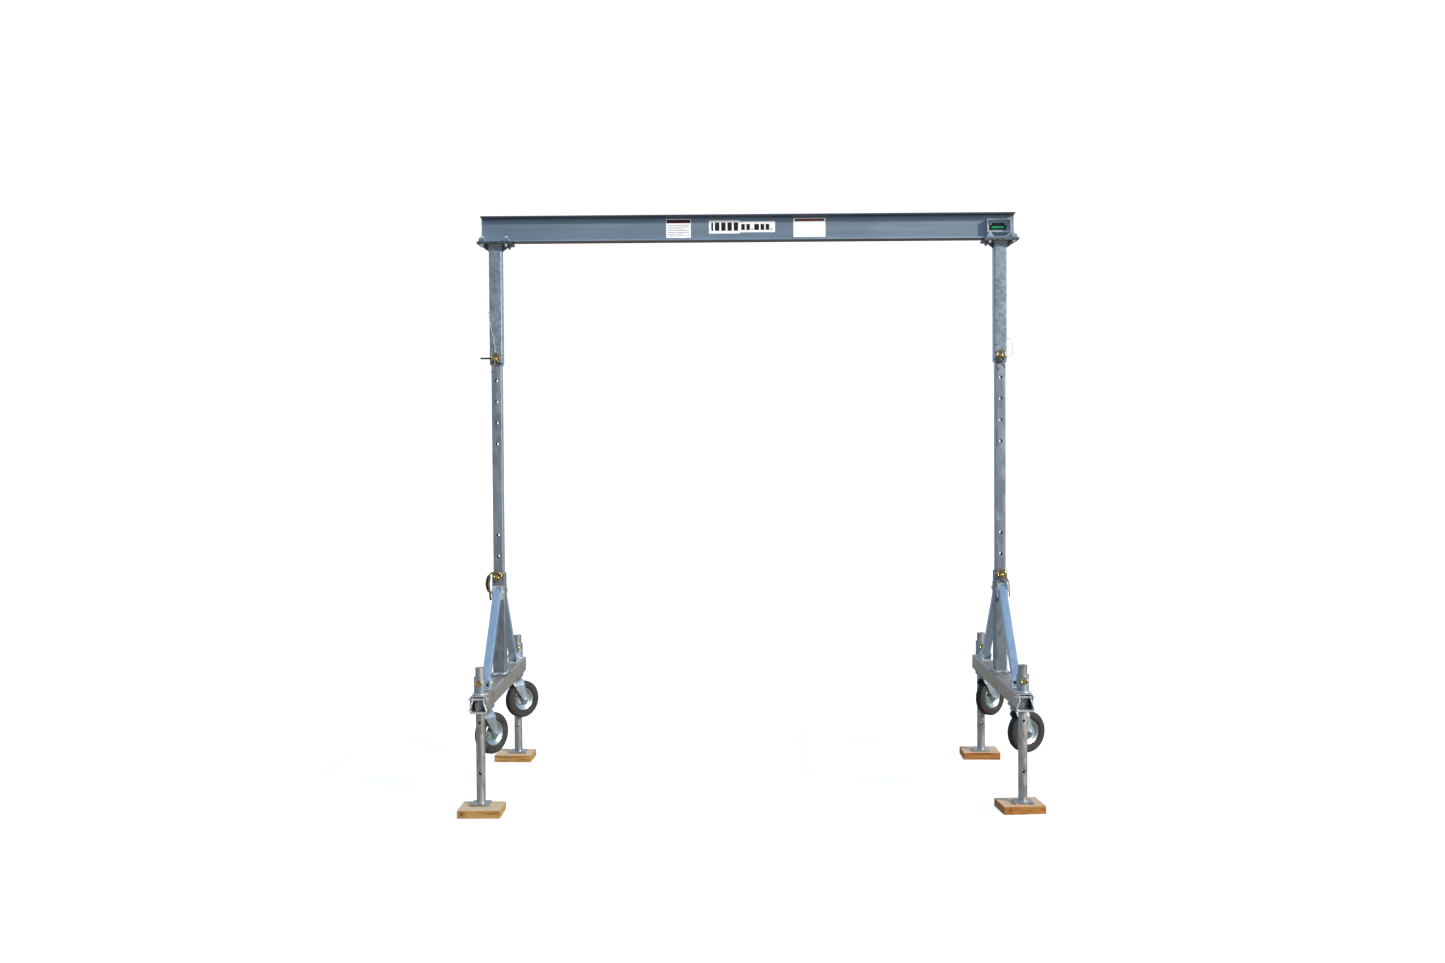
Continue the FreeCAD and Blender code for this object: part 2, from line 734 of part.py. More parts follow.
# A jack leg is a round tube welded on a square foot, with three pin holes.
def make_jack_leg(side_name, side, end_name, end):
    name = f"{end_name}_{side_name}_jack_leg"
    circles = [("0", "0", "leg_radius"), ("0", "0", "leg_radius - leg_wall")]
    tube = pad(f"{name}_tube", "XY_Plane", [], "leg_top - pad_height - foot_thick", circles)
    bind(tube, z="foot_thick")
    foot = block(f"{name}_foot", "foot_width", "foot_width", "foot_thick")
    heights = [f"{height} - pad_height" for height in ("leg_low_hole", "leg_mid_hole", "leg_pin_height")]
    holes = cross_holes(name, "jack_hole_radius", "cutter_reach", heights)
    leg = cut(name, fuse(f"{name}_welded", [tube, foot]), holes)
    finish(name, leg, x=f"{side} * column_spacing / 2", y=f"{end} * jack_spacing / 2", z="pad_height")


# Caster parts are drawn with the wheel trailing along +X and its axle along Y, then turned together.
FORK_DROP = "( base_bottom - plate_thick - race_height )"


def caster_place(side_name, end_name):
    """Each caster stands turned as it was left."""
    return {
        "x": f"{SIDES[side_name]} * column_spacing / 2",
        "y": f"{ENDS[end_name]} * caster_spacing / 2",
        "turn": Rotation(Vector(0, 0, 1), size(f"{end_name}_{side_name}_turn")),
    }


def make_fork(side_name, end_name):
    name = f"{end_name}_{side_name}_fork"
    crown_top = f"{FORK_DROP} - fork_running_gap"
    crown_bottom = f"{crown_top} - crown_height"
    crown = rod(f"{name}_crown", "crown_radius", "crown_height", z=crown_bottom)
    bridge = block(f"{name}_bridge", "bridge_length", "fork_gap + 2 * fork_thick", "fork_thick",
                   x="bridge_middle", z=crown_bottom)
    king = rod(f"{name}_kingpin", "kingpin_radius", "crown_height", z=crown_top)
    pieces = [crown, bridge, king]
    for label, way in (("a", -1), ("b", 1)):
        corners = [
            ("fork_back", f"{crown_top} - 4"),
            ("fork_front", f"{crown_top} - 4"),
            ("wheel_trail + fork_eye_half", "wheel_height - 6"),
            ("wheel_trail + fork_eye_half / 2", "wheel_height - fork_eye_drop"),
            ("wheel_trail - fork_eye_half / 2", "wheel_height - fork_eye_drop"),
            ("wheel_trail - fork_eye_half", "wheel_height - 6"),
        ]
        leg = pad(f"{name}_leg_{label}", "XZ_Plane", [corners], "fork_thick")
        leg_place = "fork_gap / 2 + fork_thick" if way > 0 else "- fork_gap / 2"
        bind(leg, y=leg_place)
        pieces.append(leg)
        nut_place = leg_place if way > 0 else "- fork_gap / 2 - fork_thick - axle_nut_thick"
        pieces.append(hexagon(f"{name}_nut_{label}", "axle_nut_radius", "axle_nut_thick", x="wheel_trail",
                              y=nut_place, z="wheel_height", along="y"))
    axle = rod(f"{name}_axle", "axle_radius", "fork_gap + 2 * fork_thick + 2 * axle_overhang",
               x="wheel_trail", y="- fork_gap / 2 - fork_thick - axle_overhang", z="wheel_height", along="y")
    finish(name, fuse(name, pieces + [axle]), **caster_place(side_name, end_name))


def make_wheel(side_name, end_name):
    """A pressed-steel rim with its hub, and the rubber tyre on it."""
    name = f"{end_name}_{side_name}"
    bore = "axle_radius + 0.3"
    half = [(bore, "hub_half_length"), ("hub_radius", "hub_half_length"), ("hub_radius", "12"), ("40", "7"),
            ("46", "13"), ("rim_radius", "13")]
    corners = [(radius, f"- {place}") for radius, place in half]
    corners += [(radius, place) for radius, place in reversed(half)]
    rim = add("PartDesign::Body", f"{name}_rim_turned")
    sketch = outline(rim, "XZ_Plane", [corners])
    turned = rim.newObject("PartDesign::Revolution", f"{name}_rim_revolution")
    turned.Profile = sketch
    turned.ReferenceAxis = (sketch, ["V_Axis"])
    turned.Angle = 360
    doc.recompute()
    rim.Placement = Placement(Vector(), TURNS["y"])
    bind(rim, x="wheel_trail", z="wheel_height")
    finish(f"{name}_rim", group(f"{name}_rim", [rim]), **caster_place(side_name, end_name))
    ring = add("Part::Torus", f"{name}_tyre_ring")
    ring.Placement = Placement(Vector(), TURNS["y"])
    bind(ring, Radius1="tyre_ring_radius", Radius2="tyre_section_radius", x="wheel_trail", z="wheel_height")
    seat = rod(f"{name}_tyre_seat", "rim_radius", "2 * tyre_seat_half", x="wheel_trail",
               y="- tyre_seat_half", z="wheel_height", along="y")
    finish(f"{name}_tyre", cut(f"{name}_tyre", ring, [seat]), **caster_place(side_name, end_name))


# A locking pin: collar, ring handle and grip in front, and the tip behind. The length between, inside the
# inner post, is left out so that the post can slide past at every height.
def make_pin(label, radius, ring_reach, post_half, inner_half, x, y, z, wire=""):
    collar_start = f"- {post_half} - 0.2 - pin_collar_thick"
    collar = rod(f"{label}_collar", f"{radius} + pin_collar_step", "pin_collar_thick", y=collar_start,
                 along="y")
    head = rod(f"{label}_head", f"{radius} + pin_head_step", "pin_head_length - 4",
               y=f"- {post_half} - pin_head_length", along="y")
    shank = rod(f"{label}_shank", radius, f"{post_half} + 4 - {inner_half}", y=f"- {post_half} - 4",
                along="y")
    handle_y = f"- {post_half} - pin_handle_place"
    ring = add("Part::Torus", f"{label}_ring")
    ring.Placement = Placement(Vector(), Rotation(Vector(1, 0, 0), 78))
    bind(ring, Radius1=f"{radius} + {ring_reach}", Radius2="ring_section_radius", y=handle_y,
         z=f"{radius} + 1")
    cross = rod(f"{label}_cross", "cross_bar_radius", f"2 * ( {radius} + {ring_reach} ) + 8",
                x=f"- ( {radius} + {ring_reach} ) - 4", y=handle_y, z=f"{radius} + 1", along="x")
    front_end = fuse(f"{label}_front", [collar, head, shank, ring, cross])
    tip = rod(f"{label}_tip", radius, f"{post_half} + pin_nose - {inner_half}", y=inner_half, along="y")
    pieces = [front_end, tip]
    if wire:
        pieces.append(rod(f"{label}_clip", "clip_wire_radius", wire, x=f"- {wire} - 11",
                          y=f"- {post_half} - 9", z="4", along="x"))
    finish(label, group(f"{label}_pieces", pieces), x=x, y=y, z=z)


def make_pins():
    for side_name, side in SIDES.items():
        x = f"{side} * column_spacing / 2"
        for level, height in (("upper", "high_pin_height"), ("lower", "low_pin_height")):
            wire = "64" if (side_name, level) == ("left", "upper") else ""
            make_pin(f"{side_name}_{level}_pin", "pin_radius", "column_pin_ring", "outer_width / 2",
                     "( inner_width / 2 + 1 )", x, "0", height, wire)
        for end_name, end in ENDS.items():
            make_pin(f"{end_name}_{side_name}_jack_pin", "jack_pin_radius", "jack_pin_ring", "sleeve_radius",
                     "( leg_radius + 1.2 )", x, f"{end} * jack_spacing / 2", "leg_pin_height")


# The bail: a bent rod loop whose two eyes turn on the cross pin in the near end of the base tube.
def make_bail(side_name, side):
    name = f"{side_name}_bail"
    radius = size("bail_rod_radius")
    pin_radius = size("bail_pin_radius")
    half_route = [(25, -9, -4), (27, -18, -14), (40, -20, -52), (34, -20, -61)]
    corners = [(-x, y, z) for x, y, z in half_route] + [(x, y, z) for x, y, z in reversed(half_route)]
    loop = swept_rod(name, corners, radius, 7)
    for way in (-1, 1):
        eye = Part.makeCylinder(pin_radius + 5, 8, Vector(way * 25 - 4, 0, 0), Vector(1, 0, 0))
        loop = loop.fuse(eye)
    bore = Part.makeCylinder(pin_radius + 0.4, 80, Vector(-40, 0, 0), Vector(1, 0, 0))
    bail = add("Part::Feature", name)
    bail.Shape = loop.cut(bore).removeSplitter()
    finish(name, bail, x=f"{side} * column_spacing / 2", y="- base_length / 2 + bail_pin_inset",
           z="bail_pin_height")


# A thin wire lanyard keeps each upper pin with its leg. The left one is pulled nearly straight across the
# leg's front; the right one hangs in a bow beside it.
LANYARD_ROUTES = {
    "left": [
        (-35, -8, 2362), (-38, -20, 2362), (-36, -34, 2345), (-29, -37, 2312), (-20, -37, 2272),
        (-13, -38, 2235), (-6, -39, 2200), (-2, -41, 2176), (-1, -43, 2161),
    ],
    "right": [
        (35, -10, 2214), (42, -20, 2213), (50, -30, 2200), (56, -35, 2176), (58, -40, 2150),
        (51, -43, 2130), (40, -45, 2122), (30, -46, 2124),
    ],
}


def make_lanyard(side_name, side):
    name = f"{side_name}_lanyard"
    corners = [(x, y, z - size("high_pin_height")) for x, y, z in LANYARD_ROUTES[side_name]]
    lanyard = add("Part::Feature", name)
    lanyard.Shape = swept_rod(name, corners, 1.5, None)
    finish(name, lanyard, x=f"{side} * column_spacing / 2", z="high_pin_height")


make_i_beam()
make_labels()
make_name_plate()
make_clamps()
make_pins()
for side_name, side in SIDES.items():
    make_saddle(side_name, side)
    make_upper_leg(side_name, side)
    make_lanyard(side_name, side)
    make_inner_column(side_name, side)
    make_base_tube(side_name, side)
    make_stub_column(side_name, side)
    make_brace_brackets(side_name, side)
    make_base_bolts(side_name, side)
    make_jack_sleeves(side_name, side)
    make_caster_plates(side_name, side)
    make_timber_pads(side_name, side)
    make_bail(side_name, side)
    for end_name, end in ENDS.items():
        make_brace(side_name, side, end_name, end)
        make_jack_leg(side_name, side, end_name, end)
        make_fork(side_name, end_name)
        make_wheel(side_name, end_name)
doc.recompute()

# Nothing is written unless every object is sound.
for thing in doc.Objects:
    if "Invalid" in thing.State or "Error" in thing.State:
        raise RuntimeError(f"{thing.Label} failed: {thing.State}")
for thing in finished:
    if thing.Shape.isNull() or not thing.Shape.isValid():
        raise RuntimeError(f"{thing.Label} has no sound shape")

os.makedirs("parts", exist_ok=True)
for thing in finished:
    thing.Shape.exportStep(f"parts/{thing.Label}.step")

whole = Part.makeCompound([thing.Shape for thing in finished]).BoundBox
print(len(finished), "sub-parts, X", round(whole.XMin, 1), round(whole.XMax, 1), "Y", round(whole.YMin, 1),
      round(whole.YMax, 1), "Z", round(whole.ZMin, 1), round(whole.ZMax, 1))
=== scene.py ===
import bmesh
import bpy
import json
import math
from mathutils import Matrix, Vector

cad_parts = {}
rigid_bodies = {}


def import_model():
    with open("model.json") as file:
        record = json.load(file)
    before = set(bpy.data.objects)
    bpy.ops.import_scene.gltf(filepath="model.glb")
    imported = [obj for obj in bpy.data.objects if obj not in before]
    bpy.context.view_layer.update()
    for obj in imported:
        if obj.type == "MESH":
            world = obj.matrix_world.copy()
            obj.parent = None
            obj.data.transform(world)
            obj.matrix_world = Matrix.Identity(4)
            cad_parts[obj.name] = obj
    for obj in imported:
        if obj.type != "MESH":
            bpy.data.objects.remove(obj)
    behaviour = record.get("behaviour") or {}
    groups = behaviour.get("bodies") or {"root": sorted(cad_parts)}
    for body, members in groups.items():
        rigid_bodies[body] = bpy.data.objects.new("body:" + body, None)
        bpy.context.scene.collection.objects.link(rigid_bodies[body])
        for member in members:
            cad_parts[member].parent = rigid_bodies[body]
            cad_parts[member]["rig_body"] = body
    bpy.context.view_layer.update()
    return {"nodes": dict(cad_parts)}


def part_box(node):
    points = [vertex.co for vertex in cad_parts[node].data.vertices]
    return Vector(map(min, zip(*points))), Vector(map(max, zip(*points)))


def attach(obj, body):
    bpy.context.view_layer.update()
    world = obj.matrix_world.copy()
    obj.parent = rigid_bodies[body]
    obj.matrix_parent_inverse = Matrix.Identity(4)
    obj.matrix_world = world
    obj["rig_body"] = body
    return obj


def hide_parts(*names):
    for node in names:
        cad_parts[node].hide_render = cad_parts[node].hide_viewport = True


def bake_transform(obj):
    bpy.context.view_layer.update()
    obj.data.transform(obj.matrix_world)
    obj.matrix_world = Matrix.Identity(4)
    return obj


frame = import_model()
nodes = frame["nodes"]


# The studio: a camera at standing height before the crane, a plain pale floor, one warm lamp low on the
# right as on a clear afternoon, and a cool dome of light all round that is dimmer on the camera's side.
CAMERA_PLACE = (-0.0555, -7.003, 1.693)
CAMERA_TURN = (88.52, 0.361, 0.604)
lens_data = bpy.data.cameras.new("camera")
lens_data.lens = 35
lens_data.sensor_width = 36
camera = bpy.data.objects.new("camera", lens_data)
camera.location = CAMERA_PLACE
camera.rotation_euler = [math.radians(angle) for angle in CAMERA_TURN]
bpy.context.scene.collection.objects.link(camera)
bpy.context.scene.camera = camera
bpy.context.scene.view_settings.view_transform = "Standard"


def node_tree(owner):
    """Starts an empty node tree and returns its maker of nodes and its joiner of sockets."""
    owner.use_nodes = True
    tree = owner.node_tree
    tree.nodes.clear()

    def new(kind, **settings):
        node = tree.nodes.new(kind)
        for name, value in settings.items():
            if name in node.inputs:
                node.inputs[name].default_value = value
            else:
                setattr(node, name, value)
        return node

    return new, tree.links.new


def ramp(new, join, source, stops):
    """A colour ramp fed by a socket; each stop is a place and a colour."""
    node = new("ShaderNodeValToRGB")
    while len(node.color_ramp.elements) < len(stops):
        node.color_ramp.elements.new(1)
    for element, (place, colour) in zip(node.color_ramp.elements, stops):
        element.position = place
        element.color = (*colour, 1)
    join(source, node.inputs["Fac"])
    return node.outputs["Color"]


def rescale(new, join, source, start, end, to_start=0, to_end=1):
    """A value stretched from one range to another."""
    limits = {"From Min": start, "From Max": end, "To Min": to_start, "To Max": to_end}
    node = new("ShaderNodeMapRange", **limits)
    join(source, node.inputs["Value"])
    return node.outputs["Result"]


sky = bpy.data.worlds.new("sky")
bpy.context.scene.world = sky
new, join = node_tree(sky)
direction = new("ShaderNodeSeparateXYZ")
join(new("ShaderNodeTexCoord").outputs["Generated"], direction.inputs[0])
height = rescale(new, join, direction.outputs["Z"], -0.1, 0.9)
depth = rescale(new, join, direction.outputs["Y"], -0.9, 0.1, 0.42, 1.0)
dome_colour = ramp(new, join, height,
                   [(0, (0.34, 0.29, 0.23)), (0.1, (0.54, 0.79, 1.04)), (1, (0.5, 0.64, 0.88))])
dome = new("ShaderNodeBackground")
join(dome_colour, dome.inputs["Color"])
join(depth, dome.inputs["Strength"])
plain = new("ShaderNodeBackground", Color=(1, 1, 1, 1), Strength=1.1)
seen = new("ShaderNodeMixShader")
join(new("ShaderNodeLightPath").outputs["Is Camera Ray"], seen.inputs[0])
join(dome.outputs[0], seen.inputs[1])
join(plain.outputs[0], seen.inputs[2])
join(seen.outputs[0], new("ShaderNodeOutputWorld").inputs["Surface"])

LAMP_TURN = math.radians(52)
LAMP_RISE = math.radians(23)
LAMP_STRENGTH = 3.1
lamp_data = bpy.data.lights.new("afternoon_lamp", "SUN")
lamp_data.energy = LAMP_STRENGTH
lamp_data.angle = math.radians(4)
lamp_data.color = (1.0, 0.94, 0.85)
lamp = bpy.data.objects.new("afternoon_lamp", lamp_data)
level_reach = math.cos(LAMP_RISE)
to_lamp = Vector((math.sin(LAMP_TURN) * level_reach, -math.cos(LAMP_TURN) * level_reach, math.sin(LAMP_RISE)))
lamp.rotation_euler = to_lamp.to_track_quat("Z", "Y").to_euler()
bpy.context.scene.collection.objects.link(lamp)


def object_from(mesh, name):
    """A new object in the scene that holds what a bmesh has; the bmesh is freed."""
    data = bpy.data.meshes.new(name)
    mesh.to_mesh(data)
    mesh.free()
    thing = bpy.data.objects.new(name, data)
    bpy.context.scene.collection.objects.link(thing)
    return thing


FLOOR_RADIUS = 60
mesh = bmesh.new()
bmesh.ops.create_circle(mesh, cap_ends=True, segments=96, radius=FLOOR_RADIUS)
floor = object_from(mesh, "floor")
paving = bpy.data.materials.new("pale_floor")
new, join = node_tree(paving)
lit = new("ShaderNodeBsdfDiffuse", Color=(0.62, 0.62, 0.62, 1))
glow = new("ShaderNodeEmission", Color=(1, 1, 1, 1), Strength=0.72)
bright = new("ShaderNodeAddShader")
join(lit.outputs[0], bright.inputs[0])
join(glow.outputs[0], bright.inputs[1])
bounce = new("ShaderNodeBsdfDiffuse", Color=(0.36, 0.3, 0.24, 1))
seen = new("ShaderNodeMixShader")
join(new("ShaderNodeLightPath").outputs["Is Camera Ray"], seen.inputs[0])
join(bounce.outputs[0], seen.inputs[1])
join(bright.outputs[0], seen.inputs[2])
join(seen.outputs[0], new("ShaderNodeOutputMaterial").inputs["Surface"])
floor.data.materials.append(paving)


# The lanyards: thin galvanised wire rope, six wires laid round a seventh, that keeps each upper pin with its
# leg. The left one is pulled nearly straight across the leg's front; the right one hangs in a bow beside it.
SIDES = {"left": -1, "right": 1}
COLUMN_X = 1.25
ROPE_WIDTH = 0.003
WIRE_RADIUS = ROPE_WIDTH / 6
ROPE_LAY = 0.018
ROPE_STEP = 0.0015
LANYARDS = {
    "left": {
        "length": 0.221, "lay": "taut",
        "route": [
            (-0.035, -0.008, 2.362), (-0.038, -0.02, 2.362), (-0.036, -0.034, 2.345), (-0.029, -0.037, 2.312),
            (-0.02, -0.037, 2.272), (-0.013, -0.038, 2.235), (-0.006, -0.039, 2.2), (-0.002, -0.041, 2.176),
            (-0.001, -0.043, 2.161),
        ],
    },
    "right": {
        "length": 0.126, "lay": "hanging",
        "route": [
            (0.035, -0.01, 2.214), (0.042, -0.02, 2.213), (0.05, -0.03, 2.2), (0.056, -0.035, 2.176),
            (0.058, -0.04, 2.15), (0.051, -0.043, 2.13), (0.04, -0.045, 2.122), (0.03, -0.046, 2.124),
        ],
    },
}


def curve_through(points, kind="POLY", radius=0, closed=False, radii=None, sides=2):
    """A curve object through points; with a radius it is a round rod with closed ends."""
    data = bpy.data.curves.new("line", "CURVE")
    data.dimensions = "3D"
    data.bevel_depth = radius
    data.bevel_resolution = sides
    data.use_fill_caps = True
    spline = data.splines.new(kind)
    spline.points.add(len(points) - 1)
    for spot, place in zip(spline.points, points):
        spot.co = (*place, 1)
    if radii:
        for spot, share in zip(spline.points, radii):
            spot.radius = share
    spline.use_cyclic_u = closed
    if kind == "NURBS":
        spline.order_u = 3
        spline.use_endpoint_u = True
        spline.resolution_u = 12
    return bpy.data.objects.new("line", data)


def add_curve(mesh, line):
    """Adds the surface of a curve object to a bmesh and takes the curve away."""
    data = bpy.data.meshes.new_from_object(line)
    mesh.from_mesh(data)
    bpy.data.meshes.remove(data)
    bpy.data.curves.remove(line.data)


def smooth_line(points):
    """The points of the smooth line that a cord's route makes."""
    line = curve_through(points, "NURBS")
    data = bpy.data.meshes.new_from_object(line)
    found = [vertex.co.copy() for vertex in data.vertices]
    bpy.data.meshes.remove(data)
    bpy.data.curves.remove(line.data)
    return found


def even_steps(points, step):
    """The same line again with its points one step apart."""
    lengths = [0]
    for here, there in zip(points, points[1:]):
        lengths.append(lengths[-1] + (there - here).length)
    count = max(2, round(lengths[-1] / step))
    placed = []
    at = 0
    for number in range(count + 1):
        along = lengths[-1] * number / count
        while at < len(points) - 2 and lengths[at + 1] < along:
            at += 1
        share = (along - lengths[at]) / (lengths[at + 1] - lengths[at])
        placed.append(points[at].lerp(points[at + 1], share))
    return placed


def wire_rope(points):
    """A bmesh of six wires laid in a helix round a straight seventh."""
    mesh = bmesh.new()
    add_curve(mesh, curve_through(points, radius=WIRE_RADIUS, sides=1))
    ahead = (points[1] - points[0]).normalized()
    across = ahead.orthogonal().normalized()
    frames = []
    travelled = 0
    for number, point in enumerate(points):
        after = points[min(number + 1, len(points) - 1)]
        before = points[max(number - 1, 0)]
        ahead = (after - before).normalized()
        across = (across - ahead * across.dot(ahead)).normalized()
        frames.append((point, across.copy(), ahead.cross(across), travelled))
        travelled += (after - point).length
    for wire in range(6):
        turned = []
        for point, across, beside, along in frames:
            angle = wire * math.pi / 3 + along / ROPE_LAY * 2 * math.pi
            turned.append(point + (across * math.cos(angle) + beside * math.sin(angle)) * 2 * WIRE_RADIUS)
        add_curve(mesh, curve_through(turned, radius=WIRE_RADIUS, sides=1))
    return mesh


def shade(thing, angle):
    """Smooth shading that stays sharp at edges steeper than the angle."""
    for face in thing.data.polygons:
        face.use_smooth = True
    thing.data.set_sharp_from_angle(angle=math.radians(angle))
    return thing


def feed(join, source, socket):
    """Gives a socket the output of another node, or a plain value."""
    if isinstance(source, bpy.types.NodeSocket):
        join(source, socket)
    else:
        socket.default_value = source


def mixed_value(new, join, share, first, second):
    """Two values mixed by a share."""
    node = new("ShaderNodeMix")
    feed(join, share, node.inputs["Factor"])
    join(first, node.inputs["A"])
    join(second, node.inputs["B"])
    return node.outputs["Result"]


def mixed_colour(new, join, share, first, second, way="MIX"):
    """Two colours mixed by a share."""
    node = new("ShaderNodeMix", data_type="RGBA", blend_type=way)
    feed(join, share, node.inputs["Factor"])
    join(first, node.inputs[6])
    feed(join, second, node.inputs[7])
    return node.outputs[2]


def bumps(new, join, source, strength, distance):
    """Small relief from a pattern."""
    node = new("ShaderNodeBump", Strength=strength, Distance=distance)
    join(source, node.inputs["Height"])
    return node.outputs["Normal"]


def coat(new, join, tone, gloss, relief=None, **settings):
    """Ends a material with a surface of the given tone, roughness and relief."""
    skin = new("ShaderNodeBsdfPrincipled", **settings)
    join(tone, skin.inputs["Base Color"])
    join(gloss, skin.inputs["Roughness"])
    if relief is not None:
        join(relief, skin.inputs["Normal"])
    join(skin.outputs[0], new("ShaderNodeOutputMaterial").inputs["Surface"])
    return skin


def metal(name, dark, light, roughness, metallic=0.85, clouds=7, crystals=75, crystal_share=0.4,
          stretch=(1, 1, 1), relief=0.12):
    """A metal skin: clouds and small crystals between two tones, with a roughness that follows them."""
    material = bpy.data.materials.new(name)
    new, join = node_tree(material)
    place = new("ShaderNodeMapping", Scale=stretch)
    join(new("ShaderNodeTexCoord").outputs["Object"], place.inputs["Vector"])
    cloud = new("ShaderNodeTexNoise", Scale=clouds, Detail=6, Roughness=0.62)
    crystal = new("ShaderNodeTexVoronoi", Scale=crystals)
    grain = new("ShaderNodeTexNoise", Scale=420, Detail=2)
    for texture in (cloud, crystal, grain):
        join(place.outputs[0], texture.inputs["Vector"])
    facet = new("ShaderNodeSeparateColor")
    join(crystal.outputs["Color"], facet.inputs[0])
    blend = mixed_value(new, join, crystal_share, cloud.outputs["Fac"], facet.outputs["Red"])
    middle = [(a + b) / 2 for a, b in zip(dark, light)]
    tone = ramp(new, join, blend, [(0.25, dark), (0.5, middle), (0.78, light)])
    gloss = rescale(new, join, blend, 0.25, 0.75, *roughness)
    coat(new, join, tone, gloss, bumps(new, join, grain.outputs["Fac"], relief, 0.0006), Metallic=metallic)
    return material


rope_zinc = metal("rope_zinc", (0.5, 0.5, 0.49), (0.85, 0.85, 0.83), (0.35, 0.5), metallic=0.4,
                  crystals=900)
for side_name, lanyard in LANYARDS.items():
    here = Vector((SIDES[side_name] * COLUMN_X, 0, 0))
    route = [Vector(point) + here for point in lanyard["route"]]
    path = even_steps(smooth_line(route), ROPE_STEP)
    rope = shade(object_from(wire_rope(path), f"{side_name}_wire_rope"), 60)
    rope.data.materials.append(rope_zinc)
    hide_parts(f"{side_name}_lanyard")
    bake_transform(rope)


# The beam: a rolled aluminium I-section, sawn off square at its ends, dull blue-grey from the weather. Its
# top flange is darker, with a painted shadow of it on the web below. A painted brown-black shade lies on its
# underside and a painted highlight lies along the bottom flange's front edge.
def body_of_node(node):
    """The name of the body that a node of the frame rides on."""
    return nodes[node]["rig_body"]


def soften(thing, width, angle):
    """Rounds the edges that are sharper than an angle."""
    bevel = thing.modifiers.new("soft_edges", "BEVEL")
    bevel.width = width
    bevel.segments = 2
    bevel.limit_method = "ANGLE"
    bevel.angle_limit = math.radians(angle)
    return bevel


SAME_PLACE = 0.00002
NEARLY_FLAT = math.radians(0.5)


def worn_copy(node, width, material):
    """A node's own shape with its doubles merged and its sharp edges rounded; it stands for the node."""
    mesh = bmesh.new()
    mesh.from_mesh(nodes[node].data)
    bmesh.ops.remove_doubles(mesh, verts=mesh.verts, dist=SAME_PLACE)
    bmesh.ops.dissolve_limit(mesh, angle_limit=NEARLY_FLAT, verts=mesh.verts, edges=mesh.edges)
    thing = shade(object_from(mesh, f"{node}_worn"), 30)
    soften(thing, width, 40).harden_normals = True
    thing.data.materials.append(material)
    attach(thing, body_of_node(node))
    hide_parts(node)


def rolled_aluminium_painted_light():
    """Blue-grey aluminium with faint rolling lines, darker along the top flange with a painted shadow under
    it, painted shade on the underside and a painted highlight along the bottom flange's front edge.
    """
    material = bpy.data.materials.new("rolled_aluminium_painted_light")
    new, join = node_tree(material)
    where = new("ShaderNodeTexCoord")
    height = new("ShaderNodeSeparateXYZ")
    join(where.outputs["Object"], height.inputs[0])
    place = new("ShaderNodeMapping", Scale=(0.5, 5, 9))
    join(where.outputs["Object"], place.inputs["Vector"])
    lines = new("ShaderNodeTexNoise", Scale=4, Detail=7, Roughness=0.6)
    join(place.outputs[0], lines.inputs["Vector"])
    stain = new("ShaderNodeTexNoise", Scale=2.2, Detail=3)
    join(where.outputs["Object"], stain.inputs["Vector"])
    low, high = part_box("i_beam")
    level = rescale(new, join, height.outputs["Z"], low.z, high.z)
    # Stops by height: painted brown-black shade on the underside, a painted highlight on the bottom flange's
    # front edge, the web, a painted shadow of the top flange on the web under it, and the darker top flange.
    tone = ramp(new, join, level, [
        (0, (0.12, 0.08, 0.06)), (0.008, (0.44, 0.56, 0.7)), (0.06, (0.44, 0.56, 0.7)),
        (0.09, (0.34, 0.42, 0.5)), (0.82, (0.38, 0.46, 0.54)), (0.9, (0.22, 0.28, 0.35)),
        (0.95, (0.1, 0.12, 0.16)), (1, (0.16, 0.18, 0.22)),
    ])
    mixed = mixed_value(new, join, 0.5, lines.outputs["Fac"], stain.outputs["Fac"])
    weather = ramp(new, join, mixed, [(0.3, (0.82, 0.83, 0.85)), (0.7, (1.12, 1.12, 1.1))])
    varied = mixed_colour(new, join, 1, tone, weather, "MULTIPLY")
    gloss = rescale(new, join, mixed, 0.3, 0.7, 0.36, 0.52)
    coat(new, join, varied, gloss, bumps(new, join, lines.outputs["Fac"], 0.15, 0.0008), Metallic=0.8)
    return material


worn_copy("i_beam", 0.0012, rolled_aluminium_painted_light())


# The labels: printed vinyl film stuck on the beam's web. A sheet with a dark red heading over small rows, a
# pair of capacity stickers with bold black marks, and a white sheet with an orange-brown heading.
INK_PROUD = 0.0002
SHEET_CORNER = 0.003
INK_CORNER = 0.002


def film(name, colour, speckle, roughness, painted_glow=0):
    """Printed vinyl: one ink with a little fading and dirt, a soft gloss, and a painted glow in some inks."""
    material = bpy.data.materials.new(name)
    new, join = node_tree(material)
    fading = new("ShaderNodeTexNoise", Scale=38, Detail=6, Roughness=0.65)
    join(new("ShaderNodeTexCoord").outputs["Object"], fading.inputs["Vector"])
    faded = [channel * (1 - speckle) for channel in colour]
    tone = ramp(new, join, fading.outputs["Fac"], [(0.3, faded), (0.55, colour)])
    gloss = rescale(new, join, fading.outputs["Fac"], 0, 1, roughness - 0.08, roughness + 0.1)
    # Some inks shine with their own colour: a painted glow that keeps them bright whatever light falls on
    # them.
    skin = coat(new, join, tone, gloss, **{"Emission Strength": painted_glow})
    join(tone, skin.inputs["Emission Color"])
    return material


# The white film and the green ink carry a painted glow.
inks = {
    "white": film("white_film", (0.96, 0.96, 0.95), 0.03, 0.38, painted_glow=0.3),
    "dark_red": film("dark_red_ink", (0.16, 0.012, 0.03), 0.2, 0.4),
    "orange": film("orange_brown_ink", (0.38, 0.09, 0.02), 0.2, 0.4),
    "grey": film("grey_ink", (0.42, 0.42, 0.43), 0.3, 0.45),
    "black": film("black_ink", (0.012, 0.012, 0.014), 0.3, 0.4),
    "green": film("green_ink", (0.0, 0.3, 0.12), 0.35, 0.35, painted_glow=0.25),
    "gloss_black": film("plate_black", (0.008, 0.009, 0.01), 0.3, 0.25),
}


